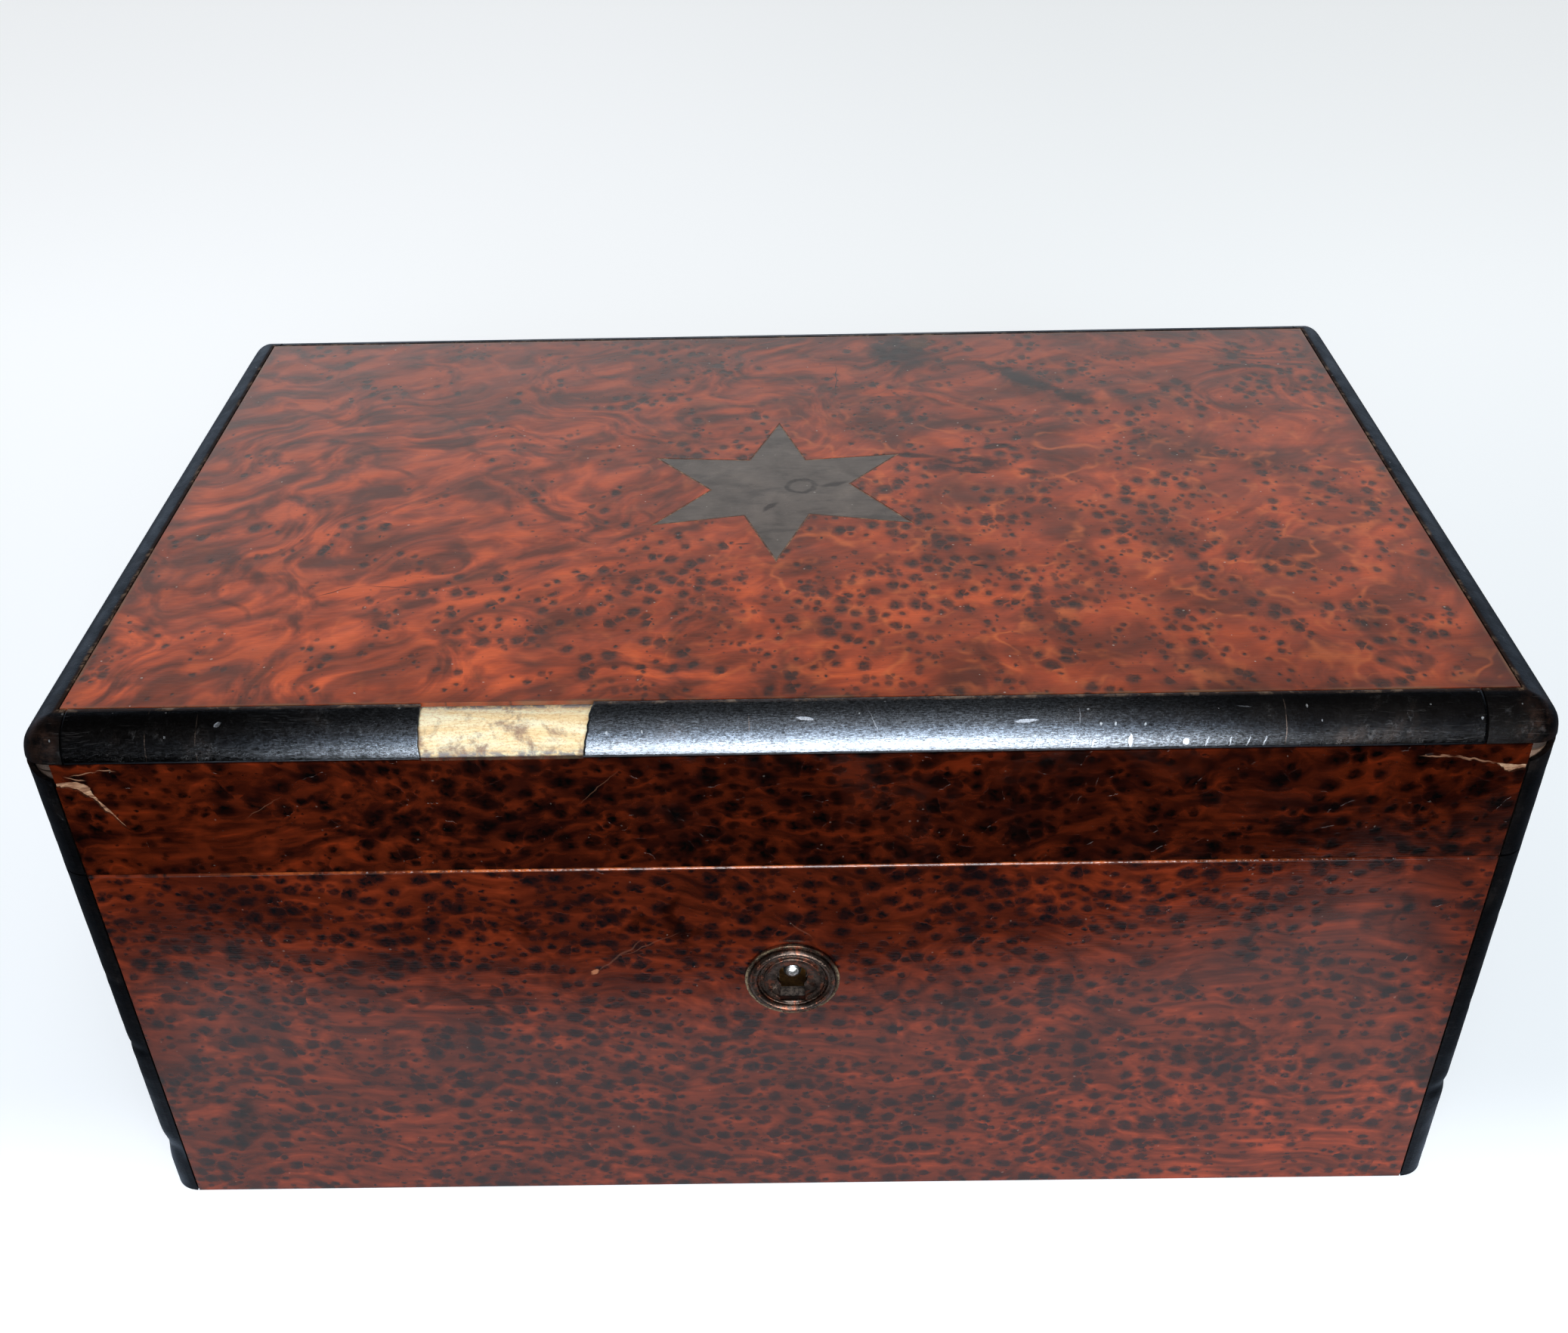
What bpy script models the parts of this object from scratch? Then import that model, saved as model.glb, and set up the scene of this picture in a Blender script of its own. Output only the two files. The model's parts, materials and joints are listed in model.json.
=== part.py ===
"""A veneered tea caddy: a hinged box with a lock and two lidded tea compartments.

The softwood case and lid are faced with burr veneer. Black veneer goes round every upright
corner and along the rounded top edges, and a six-pointed star is let into the top. One stretch
of the black edging at the front has come away and shows the rounded wood below it.

Metres, +Z up, front towards -Y. The origin is on the floor, under the middle of the box.
"""

import math

import bmesh
import bpy

# ---------------------------------------------------------------- driving dimensions
BOX_WIDTH = 0.254
BOX_DEPTH = 0.155
CASE_HEIGHT = 0.0863        # floor to the rim of the lower box
LID_HEIGHT = 0.0309         # bottom edge of the lid to its top
CORNER_RADIUS = 0.0052      # upright corners
EDGE_RADIUS = 0.0065        # top edges of the lid
VENEER = 0.0008
BOARD = 0.009               # walls of the case and of the lid
CORNER_LAP = 0.0055         # what is left of a front or back board behind the end of a side board
BOTTOM_BOARD = 0.007
TOP_BOARD = 0.0075

STAR_REACH = 0.0276         # centre of the star to its points
STAR_WAIST = 0.0128         # centre of the star to its inner corners
STAR_CENTRE = (-0.0014, -0.0009)
STAR_BY_HAND = (            # each corner, from the rear one on: share of its length, degrees off
    (0.99, 0), (1.02, -3), (1.01, 2), (1.04, 1), (0.99, -1), (0.95, -3),
    (0.97, -1), (0.91, 0), (1.04, 1), (1.09, 6), (0.99, -1), (0.98, 5),
)

MISSING_START = -0.0603     # the stretch of front edging that has come away
MISSING_END = -0.0318
MISSING_SLANT = 0.0017      # the right-hand break leans this far
BAND_WRAP = 0.0014          # a side band goes this far round a corner of the top veneer
BAND_WRAP_LONG = 0.0067     # and this far at the front right
BROKEN_STRIP = 0.0035       # what the two front corner strips of the lid have lost at the face

LINING = 0.003
INNER_LID = 0.005
INNER_LID_DROP = 0.006      # inner lids below the rim
INNER_LID_EDGE = 0.0015     # their rounded upper edge
PARTITION = 0.008
PARTITION_RIB = 0.003       # the thin part of the partition between the inner lids
TEA_LINER_WALL = 0.0006
TEA_LINER_DROP = 0.001      # liner rims below the inner lids
KNOB_RADIUS = 0.0055
KNOB_HEIGHT = 0.0095
KNOB_SPIGOT_RADIUS = 0.002
KNOB_SPIGOT = 0.003
LID_LINING = 0.0022
LID_LINING_EDGE = 0.0008

KEYHOLE_DROP = 0.0262       # rim to the middle of the keyhole
KEYHOLE_RADIUS = 0.0028
KEYHOLE_SLOT_TOP = 0.0042   # width of the slot under the round part
KEYHOLE_SLOT_FOOT = 0.0047
KEYHOLE_SLOT_DROP = 0.0063  # middle of the keyhole to the foot of the slot
ESCUTCHEON_RADIUS = 0.0086
ESCUTCHEON_DROP = 0.0008    # its middle lies this far below the middle of the keyhole
LOCK_PIN_RADIUS = 0.00165
LOCK_PIN_RECESS = 0.0002    # the tip of the pin behind the face of the veneer

LOCK_COVER = 0.0024         # wood left in front of the lock
LOCK_SIDE = 0.0027          # room beside the bolt
LOCK_FOOT = 0.009           # middle of the keyhole to the lower end of the lock
LOCK_WALL = 0.001
SELVEDGE = 0.0015
SELVEDGE_COVER = 0.0012     # wood left in front of the selvedge
SELVEDGE_EAR = 0.005        # how far it reaches past the lock at each end
STAPLE_SPREAD = 0.010       # each staple of the lid plate from the middle
STAPLE_WIDTH = 0.0018
STAPLE_DROP = 0.007
STAPLE_EYE_TOP = 0.0026
STAPLE_EYE_FOOT = 0.0058
STAPLE_PLAY = 0.0004
BOLT_THICKNESS = 0.0026
BOLT_THROW = 0.004
BOLT_BAR = 0.0055
BOLT_POST = 0.003
BOLT_TAIL = 0.012
BOLT_TAIL_REACH = 0.005     # middle of the keyhole to the end of the bolt's tail
BOLT_TALON = 0.003
GUIDE_STUD_RADIUS = 0.001

HINGE_SPREAD = 0.075        # middle of each hinge from the middle of the box
HINGE_LENGTH = 0.030
LEAF = 0.0012
BARREL_RADIUS = 0.002
HINGE_PIN_RADIUS = 0.001
HINGE_PIN_PLAY = 0.00006
KNUCKLES = 5
LID_OPENING = math.radians(100)
BACK_EASE = math.radians(1)  # added to each bevel of the back edges, which stop the lid
SCREW_RADIUS = 0.0009
SCREW_HEAD_RADIUS = 0.0018
SCREW_SPACING = 0.018

FIT = 0.0003                # glue lines and clearances between pieces
PLAY = 0.0006               # around the inner lids

ARC_STEPS = 6
ROUND_STEPS = 56
SMALL_ROUND_STEPS = 24
HOLE_STEPS = 16

# ---------------------------------------------------------------- derived places
HALF_WIDTH = BOX_WIDTH / 2
HALF_DEPTH = BOX_DEPTH / 2
RIM = CASE_HEIGHT
LID_FOOT = RIM + FIT
BOX_HEIGHT = LID_FOOT + LID_HEIGHT
EDGE_FOOT = BOX_HEIGHT - EDGE_RADIUS    # where the walls of the lid start to round over

SKIN = VENEER + FIT                     # outer face to the wood that the veneer is glued to
CORE_X = HALF_WIDTH - SKIN
CORE_Y = HALF_DEPTH - SKIN
CORE_CORNER = CORNER_RADIUS - SKIN
INNER_X = CORE_X - BOARD
INNER_Y = CORE_Y - BOARD
FLOOR = BOTTOM_BOARD + FIT
CEILING = BOX_HEIGHT - SKIN - TOP_BOARD - FIT

INNER_LID_TOP = RIM - INNER_LID_DROP
LEDGE = INNER_LID_TOP - INNER_LID - FIT
LINED_X = INNER_X - FIT - LINING
LINED_Y = INNER_Y - FIT - LINING

HINGE_Y = HALF_DEPTH - BARREL_RADIUS
HINGE_Z = RIM + FIT / 2

KEYHOLE_Z = RIM - KEYHOLE_DROP
POST_REACH = STAPLE_WIDTH / 2 + STAPLE_PLAY + BOLT_THROW    # middle of a staple to its post
LOCK_HALF = STAPLE_SPREAD + POST_REACH + BOLT_POST + LOCK_SIDE + LOCK_WALL
LOCK_BACK = -INNER_Y
LOCK_FRONT = LOCK_COVER - CORE_Y
SELVEDGE_HALF = LOCK_HALF + SELVEDGE_EAR
SELVEDGE_FRONT = SELVEDGE_COVER - CORE_Y
BOLT_Y = (LOCK_FRONT + LOCK_BACK - LOCK_WALL) / 2
STAPLE_HALF_DEPTH = (LOCK_BACK - LOCK_WALL - LOCK_FRONT) / 2 - STAPLE_PLAY

# ---------------------------------------------------------------- materials
FINISHES = {
    "burr_veneer": ((0.16, 0.035, 0.012), 0.25, 0.0),
    "ebonised_veneer": ((0.012, 0.011, 0.012), 0.22, 0.0),
    "star_veneer": ((0.045, 0.030, 0.026), 0.35, 0.0),
    "softwood": ((0.62, 0.42, 0.22), 0.75, 0.0),
    "lining_wood": ((0.20, 0.075, 0.035), 0.5, 0.0),
    "inner_lid_wood": ((0.17, 0.050, 0.022), 0.3, 0.0),
    "knob_wood": ((0.015, 0.013, 0.013), 0.2, 0.0),
    "tinfoil": ((0.55, 0.55, 0.56), 0.4, 1.0),
    "velvet": ((0.16, 0.015, 0.03), 0.95, 0.0),
    "dark_bronze": ((0.055, 0.040, 0.032), 0.3, 1.0),
    "brass": ((0.60, 0.42, 0.16), 0.35, 1.0),
    "steel": ((0.45, 0.45, 0.46), 0.25, 1.0),
}


def make_material(name):
    colour, roughness, metallic = FINISHES[name]
    material = bpy.data.materials.new(name)
    material.use_nodes = True
    shader = material.node_tree.nodes["Principled BSDF"]
    shader.inputs["Base Color"].default_value = (*colour, 1)
    shader.inputs["Roughness"].default_value = roughness
    shader.inputs["Metallic"].default_value = metallic
    material.diffuse_color = (*colour, 1)
    return material


def finish_for(name):
    return bpy.data.materials.get(name) or make_material(name)


# ---------------------------------------------------------------- modelling helpers
def add_object(name, bm, finish, smooth=False):
    """Turn a bmesh into a named object with outward faces."""
    bmesh.ops.remove_doubles(bm, verts=bm.verts, dist=1e-7)
    bmesh.ops.recalc_face_normals(bm, faces=bm.faces)
    mesh = bpy.data.meshes.new(name)
    bm.to_mesh(mesh)
    bm.free()
    piece = bpy.data.objects.new(name, mesh)
    bpy.context.scene.collection.objects.link(piece)
    mesh.materials.append(finish_for(finish))
    if smooth:
        mesh.shade_smooth()
        mesh.set_sharp_from_angle(angle=math.radians(35))
    return piece


def block(name, x, y, z, finish="softwood"):
    """A box from its low and high value along each axis."""
    bm = bmesh.new()
    bmesh.ops.create_cube(bm, size=1)
    for vert in bm.verts:
        for axis, (low, high) in enumerate((x, y, z)):
            vert.co[axis] = high if vert.co[axis] > 0 else low
    return add_object(name, bm, finish)


def prism(name, outline, axis, low, high, finish="softwood", smooth=False):
    """An outline pushed along an axis. Its points are (y, z), (x, z) or (x, y)."""
    across = [index for index in range(3) if index != "XYZ".index(axis)]
    bm = bmesh.new()
    rings = []
    for level in (low, high):
        ring = []
        for point in outline:
            place = [level] * 3
            place[across[0]], place[across[1]] = point
            ring.append(bm.verts.new(place))
        rings.append(ring)
        bm.faces.new(ring)
    for start, end in zip(range(len(outline)), [*range(1, len(outline)), 0]):
        bm.faces.new((rings[0][start], rings[0][end], rings[1][end], rings[1][start]))
    return add_object(name, bm, finish, smooth)


def turned(name, profile, centre, axis, finish="softwood", steps=ROUND_STEPS):
    """A profile of (radius, distance along the axis) turned round an axis through centre."""
    along = "XYZ".index(axis)
    across = [index for index in range(3) if index != along]
    bm = bmesh.new()
    rings = []
    for radius, distance in profile:
        ring = []
        for step in range(steps):
            angle = math.tau * step / steps
            place = list(centre)
            place[along] += distance
            place[across[0]] += radius * math.cos(angle)
            place[across[1]] += radius * math.sin(angle)
            ring.append(bm.verts.new(place))
        rings.append(ring)
    for lower, upper in zip(rings, rings[1:]):
        for step in range(steps):
            ahead = (step + 1) % steps
            bm.faces.new((lower[step], lower[ahead], upper[ahead], upper[step]))
    bm.faces.new(rings[0])
    bm.faces.new(rings[-1])
    return add_object(name, bm, finish, smooth=True)


def rod(name, radius, low, high, centre, axis, finish="softwood", steps=SMALL_ROUND_STEPS):
    return turned(name, [(radius, low), (radius, high)], centre, axis, finish, steps)


def arc(centre_x, centre_y, radius, start, end, steps=ARC_STEPS):
    """Points on an arc, from one angle to another in degrees."""
    points = []
    for step in range(steps + 1):
        angle = math.radians(start + (end - start) * step / steps)
        points.append((centre_x + radius * math.cos(angle), centre_y + radius * math.sin(angle)))
    return points


def combine(piece, tool, operation):
    """Cut a tool out of a piece, or join it on, and keep the tool as a guide."""
    tool.hide_render = True
    tool.display_type = "WIRE"
    modifier = piece.modifiers.new(operation.lower() + " " + tool.name, "BOOLEAN")
    modifier.operation = operation
    modifier.solver = "EXACT"
    modifier.object = tool


def cut(piece, *tools):
    for tool in tools:
        combine(piece, tool, "DIFFERENCE")


def join(piece, *tools):
    for tool in tools:
        combine(piece, tool, "UNION")


def flipped(points, x=1, y=1):
    return [(point[0] * x, point[1] * y) for point in points]


# ---------------------------------------------------------------- rounded outer form
def corner_stations(side_x, side_y, from_front):
    """Centre and outward directions of one upright corner, walked towards or from the front."""
    centre = (side_x * (HALF_WIDTH - CORNER_RADIUS), side_y * (HALF_DEPTH - CORNER_RADIUS))
    stations = []
    for step in range(ARC_STEPS + 1):
        angle = math.pi / 2 * step / ARC_STEPS
        if not from_front:
            angle = math.pi / 2 - angle
        direction = (side_x * math.sin(angle), side_y * math.cos(angle))
        stations.append((centre, direction, (side_x, side_y)))
    return stations


def face_station(x, side_y):
    """A place on the front or back edge, away from the corners."""
    return ((x, side_y * (HALF_DEPTH - CORNER_RADIUS)), (0, side_y), None)


def edge_point(station, angle, depth):
    """A point of the rounded top edge: angle 0 is at the wall, a quarter turn is on the top.

    depth is how far below the outer face the point lies. Where the top edge has come in further
    than the corner is round, all directions of a corner meet in the corner of the top.
    """
    centre, direction, corner = station
    edge = EDGE_RADIUS - depth
    reach = CORNER_RADIUS - depth - edge * (1 - math.cos(angle))
    if corner and reach < 0:
        direction = corner
    height = EDGE_FOOT + edge * math.sin(angle)
    return (centre[0] + direction[0] * reach, centre[1] + direction[1] * reach, height)


def edge_angles():
    return [math.pi / 2 * step / ARC_STEPS for step in range(ARC_STEPS + 1)]


def thick_sheet(name, outer, inner, finish):
    """A closed sheet between two grids of points with the same rows and columns."""
    bm = bmesh.new()
    grids = [[[bm.verts.new(point) for point in row] for row in grid] for grid in (outer, inner)]
    last_row = len(outer) - 1
    last_column = len(outer[0]) - 1
    for grid in grids:
        for row in range(last_row):
            for column in range(last_column):
                bm.faces.new((grid[row][column], grid[row + 1][column],
                              grid[row + 1][column + 1], grid[row][column + 1]))
    face, back = grids
    for row in (0, last_row):
        for column in range(last_column):
            bm.faces.new((face[row][column], face[row][column + 1],
                          back[row][column + 1], back[row][column]))
    for column in (0, last_column):
        for row in range(last_row):
            bm.faces.new((face[row][column], face[row + 1][column],
                          back[row + 1][column], back[row][column]))
    return add_object(name, bm, finish, smooth=True)


def edge_band(name, rows):
    """Black veneer bent over the top edge. Each row gives a station for each angle."""
    outer = []
    inner = []
    for stations in rows:
        outer.append([edge_point(spot, turn, 0) for spot, turn in zip(stations, edge_angles())])
        inner.append([edge_point(spot, turn, VENEER)
                      for spot, turn in zip(stations, edge_angles())])
    return thick_sheet(name, outer, inner, "ebonised_veneer")


def upright_row(station):
    return [station] * (ARC_STEPS + 1)


def leaning_row(x_at_wall, x_at_top, side_y):
    """The end of a band where it has broken off at a slant."""
    row = []
    for step in range(ARC_STEPS + 1):
        share = step / ARC_STEPS
        row.append(face_station(x_at_wall + (x_at_top - x_at_wall) * share, side_y))
    return row


def rounded_top_board(name, low):
    """The board under the top veneer, rounded to carry the black bands."""
    walk = [
        *corner_stations(-1, -1, False), *corner_stations(1, -1, True),
        *corner_stations(1, 1, False), *corner_stations(-1, 1, True),
    ]
    rings = [[(*edge_point(station, 0, SKIN)[:2], low) for station in walk]]
    for angle in edge_angles():
        rings.append([edge_point(station, angle, SKIN) for station in walk])
    bm = bmesh.new()
    rings = [[bm.verts.new(point) for point in ring] for ring in rings]
    for lower, upper in zip(rings, rings[1:]):
        for start in range(len(walk)):
            ahead = (start + 1) % len(walk)
            bm.faces.new((lower[start], lower[ahead], upper[ahead], upper[start]))
    bm.faces.new(rings[0])
    bmesh.ops.remove_doubles(bm, verts=bm.verts, dist=1e-7)
    bmesh.ops.holes_fill(bm, edges=[edge for edge in bm.edges if edge.is_boundary], sides=0)
    return add_object(name, bm, "softwood", smooth=True)


# ---------------------------------------------------------------- walls
def end_board_outline(side_y):
    """A front or back board from above, lapped at both ends for the side boards."""
    lap = -CORE_Y + CORNER_LAP
    inside = -CORE_Y + BOARD
    shoulder = CORE_X - BOARD - FIT
    round_x = CORE_X - CORE_CORNER
    round_y = -CORE_Y + CORE_CORNER
    outline = [
        *arc(-round_x, round_y, CORE_CORNER, 180, 270),
        *arc(round_x, round_y, CORE_CORNER, 270, 360),
        (CORE_X, lap), (shoulder, lap), (shoulder, inside),
        (-shoulder, inside), (-shoulder, lap), (-CORE_X, lap),
    ]
    return flipped(outline, y=-side_y)


def make_walls(prefix, low, high):
    """The four boards of the case or of the lid."""
    walls = {}
    for side, side_y in (("front", -1), ("back", 1)):
        walls[side] = prism(f"{prefix}{side}_board", end_board_outline(side_y), "Z", low, high,
                            smooth=True)
    reach = CORE_Y - CORNER_LAP - FIT
    for side, side_x in (("left", -1), ("right", 1)):
        near, far = sorted((side_x * CORE_X, side_x * (CORE_X - BOARD)))
        walls[side] = block(f"{prefix}{side}_board", (near, far), (-reach, reach), (low, high))
    return walls


def make_wall_veneers(prefix, low, high):
    """Burr veneer on the four walls, between the black corner strips."""
    veneers = {}
    across = HALF_WIDTH - CORNER_RADIUS - FIT
    along = HALF_DEPTH - CORNER_RADIUS - FIT
    for side, side_y in (("front", -1), ("back", 1)):
        near, far = sorted((side_y * HALF_DEPTH, side_y * (HALF_DEPTH - VENEER)))
        veneers[side] = block(f"{prefix}{side}_veneer", (-across, across), (near, far),
                              (low, high), "burr_veneer")
    for side, side_x in (("left", -1), ("right", 1)):
        near, far = sorted((side_x * HALF_WIDTH, side_x * (HALF_WIDTH - VENEER)))
        veneers[side] = block(f"{prefix}{side}_veneer", (near, far), (-along, along),
                              (low, high), "burr_veneer")
    return veneers


def make_corner_strips(prefix, low, high, broken_by=0):
    """Black veneer round the upright corners. The front two may have lost a piece at the top."""
    strips = {}
    for side_y, end in ((-1, "front"), (1, "back")):
        for side_x, side in ((-1, "left"), (1, "right")):
            outer = []
            inner = []
            for step, station in enumerate(corner_stations(side_x, side_y, True)):
                (centre_x, centre_y), (out_x, out_y), _ = station
                loss = broken_by * (1 - step / ARC_STEPS) if side_y < 0 else 0
                for grid, radius in ((outer, CORNER_RADIUS), (inner, CORNER_RADIUS - VENEER)):
                    x = centre_x + out_x * radius
                    y = centre_y + out_y * radius
                    grid.append([(x, y, low), (x, y, high - loss)])
            name = f"{prefix}corner_strip_{end}_{side}"
            strips[end, side] = thick_sheet(name, outer, inner, "ebonised_veneer")
    return strips


# ---------------------------------------------------------------- cutters
def back_bevel():
    """The groove along the back: its two faces meet when the lid is fully open."""
    reach = 2 * BARREL_RADIUS
    rise = reach * math.tan(LID_OPENING / 2 + BACK_EASE)
    outline = [(HINGE_Y, HINGE_Z), (HINGE_Y + reach, HINGE_Z - rise),
               (HINGE_Y + reach, HINGE_Z + rise)]
    return prism("back_bevel_cutter", outline, "X", -BOX_WIDTH, BOX_WIDTH)


def hinge_places():
    return (("left", -HINGE_SPREAD), ("right", HINGE_SPREAD))


def keyhole_outline(grow=0):
    """A round hole with a slot that widens a little to its foot, seen from the front."""
    radius = KEYHOLE_RADIUS + grow
    half_top = KEYHOLE_SLOT_TOP / 2 + grow
    half_foot = KEYHOLE_SLOT_FOOT / 2 + grow
    start = math.degrees(math.asin(half_top / radius))
    outline = arc(0, KEYHOLE_Z, radius, start - 90, 270 - start, 3 * ARC_STEPS)
    foot = KEYHOLE_Z - KEYHOLE_SLOT_DROP - grow
    return [*outline, (-half_foot, foot), (half_foot, foot)]


# ---------------------------------------------------------------- star
def star_outline(grow=0):
    """Six points and six inner corners, moved outwards by at least grow across every side."""
    corners = []
    for step, (share, turn) in enumerate(STAR_BY_HAND):
        angle = math.radians(90 + 30 * step + turn)
        radius = share * (STAR_WAIST if step % 2 else STAR_REACH)
        corners.append((radius * math.cos(angle), radius * math.sin(angle)))
    side_distances = []
    for (x1, y1), (x2, y2) in zip(corners, [*corners[1:], corners[0]]):
        side_distances.append((x1 * y2 - x2 * y1) / math.dist((x1, y1), (x2, y2)))
    larger = 1 + grow / min(side_distances)
    middle_x, middle_y = STAR_CENTRE
    return [(middle_x + x * larger, middle_y + y * larger) for x, y in corners]


# ---------------------------------------------------------------- case
def make_case(bevel):
    outline = [
        *arc(CORE_CORNER - CORE_X, CORE_CORNER - CORE_Y, CORE_CORNER, 180, 270),
        *arc(CORE_X - CORE_CORNER, CORE_CORNER - CORE_Y, CORE_CORNER, 270, 360),
        *arc(CORE_X - CORE_CORNER, CORE_Y - CORE_CORNER, CORE_CORNER, 0, 90),
        *arc(CORE_CORNER - CORE_X, CORE_Y - CORE_CORNER, CORE_CORNER, 90, 180),
    ]
    prism("bottom_board", outline, "Z", 0, BOTTOM_BOARD, smooth=True)
    walls = make_walls("", FLOOR, RIM)
    veneers = make_wall_veneers("", 0, RIM)
    strips = make_corner_strips("", 0, RIM)
    for piece in (walls["back"], veneers["back"], strips["back", "left"],
                  strips["back", "right"]):
        cut(piece, bevel)

    board_hole = prism("board_keyhole_cutter", keyhole_outline(FIT), "Y",
                       -HALF_DEPTH, LOCK_BACK)
    veneer_hole = prism("veneer_keyhole_cutter", keyhole_outline(FIT), "Y",
                        -HALF_DEPTH - BOARD, -CORE_Y)
    lock_bed = block(
        "lock_bed_cutter",
        (-LOCK_HALF - FIT, LOCK_HALF + FIT),
        (LOCK_FRONT - FIT, LOCK_BACK + BOARD),
        (KEYHOLE_Z - LOCK_FOOT - FIT, RIM + BOARD),
    )
    selvedge_bed = block(
        "selvedge_bed_cutter",
        (-SELVEDGE_HALF - FIT, SELVEDGE_HALF + FIT),
        (SELVEDGE_FRONT - FIT, LOCK_BACK + BOARD),
        (RIM - SELVEDGE - FIT, RIM + BOARD),
    )
    cut(walls["front"], board_hole, lock_bed, selvedge_bed)
    cut(veneers["front"], veneer_hole)
    return walls, veneers


def make_interior():
    """Linings that carry the inner lids, the partition and the two tea liners."""
    side = LINED_Y - FIT
    block("front_lining", (FIT - INNER_X, INNER_X - FIT), (FIT - INNER_Y, -LINED_Y),
          (FLOOR, LEDGE), "lining_wood")
    block("back_lining", (FIT - INNER_X, INNER_X - FIT), (LINED_Y, INNER_Y - FIT),
          (FLOOR, LEDGE), "lining_wood")
    block("left_lining", (FIT - INNER_X, -LINED_X), (-side, side), (FLOOR, LEDGE),
          "lining_wood")
    block("right_lining", (LINED_X, INNER_X - FIT), (-side, side), (FLOOR, LEDGE),
          "lining_wood")
    partition = block("partition", (-PARTITION / 2, PARTITION / 2), (-side, side),
                      (FLOOR, LEDGE), "lining_wood")
    rib = block("partition_rib_guide", (-PARTITION_RIB / 2, PARTITION_RIB / 2),
                (FIT - INNER_Y, INNER_Y - FIT), (LEDGE + FIT, INNER_LID_TOP), "lining_wood")
    web = block("partition_web_guide", (-PARTITION_RIB / 2, PARTITION_RIB / 2),
                (-side, side), (LEDGE - PARTITION, INNER_LID_TOP - FIT), "lining_wood")
    join(partition, web, rib)

    for side_name, side_x in (("left", -1), ("right", 1)):
        make_tea_liner(f"tea_liner_{side_name}", side_x)
        make_inner_lid(side_name, side_x)


def make_tea_liner(name, side_x):
    """A thin metal box, open at the top, that keeps the tea dry."""
    near, far = sorted((side_x * (PARTITION / 2 + FIT), side_x * (LINED_X - FIT)))
    side = LINED_Y - FIT
    high = LEDGE - TEA_LINER_DROP
    liner = block(name, (near, far), (-side, side), (FLOOR, high), "tinfoil")
    wall = TEA_LINER_WALL
    hollow = block(f"{name}_cutter", (near + wall, far - wall), (wall - side, side - wall),
                   (FLOOR + wall, high + BOARD))
    cut(liner, hollow)


def make_inner_lid(side_name, side_x):
    """A lift-off lid with a rounded upper edge and a turned knob."""
    near, far = sorted((side_x * (PARTITION_RIB / 2 + PLAY), side_x * (INNER_X - PLAY)))
    side = INNER_Y - PLAY
    low = INNER_LID_TOP - INNER_LID
    square = INNER_LID_TOP - INNER_LID_EDGE
    bm = bmesh.new()
    levels = [(0, low), (0, square)]
    for step in range(1, ARC_STEPS + 1):
        angle = math.pi / 2 * step / ARC_STEPS
        levels.append((INNER_LID_EDGE * (1 - math.cos(angle)),
                       square + INNER_LID_EDGE * math.sin(angle)))
    rings = []
    for inset, height in levels:
        corners = ((near + inset, inset - side), (far - inset, inset - side),
                   (far - inset, side - inset), (near + inset, side - inset))
        rings.append([bm.verts.new((x, y, height)) for x, y in corners])
    for lower, upper in zip(rings, rings[1:]):
        for start in range(4):
            ahead = (start + 1) % 4
            bm.faces.new((lower[start], lower[ahead], upper[ahead], upper[start]))
    bm.faces.new(rings[0])
    bm.faces.new(rings[-1])
    lid = add_object(f"inner_lid_{side_name}", bm, "inner_lid_wood", smooth=True)

    middle = ((near + far) / 2, 0, INNER_LID_TOP)
    hole = rod(f"knob_hole_cutter_{side_name}", KNOB_SPIGOT_RADIUS + FIT, -KNOB_SPIGOT - FIT,
               INNER_LID, middle, "Z")
    cut(lid, hole)
    turned(f"inner_knob_{side_name}", knob_profile(), middle, "Z", "knob_wood",
           SMALL_ROUND_STEPS)


def knob_profile():
    """Spigot, collar, waist and ball of a turned knob, as (radius, height)."""
    collar = KNOB_RADIUS * 0.8
    waist = KNOB_RADIUS * 0.42
    ball_foot = KNOB_HEIGHT * 0.36
    ball = (KNOB_HEIGHT - ball_foot) / 2
    profile = [
        (KNOB_SPIGOT_RADIUS, -KNOB_SPIGOT), (KNOB_SPIGOT_RADIUS, FIT),
        (collar, FIT), (collar, KNOB_HEIGHT * 0.1), (collar * 0.85, KNOB_HEIGHT * 0.15),
        (waist, KNOB_HEIGHT * 0.24),
    ]
    for step in range(ARC_STEPS + 3):
        angle = math.radians(-60 + 148 * step / (ARC_STEPS + 2))
        profile.append((KNOB_RADIUS * math.cos(angle),
                        ball_foot + ball + ball * math.sin(angle)))
    return profile


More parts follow.
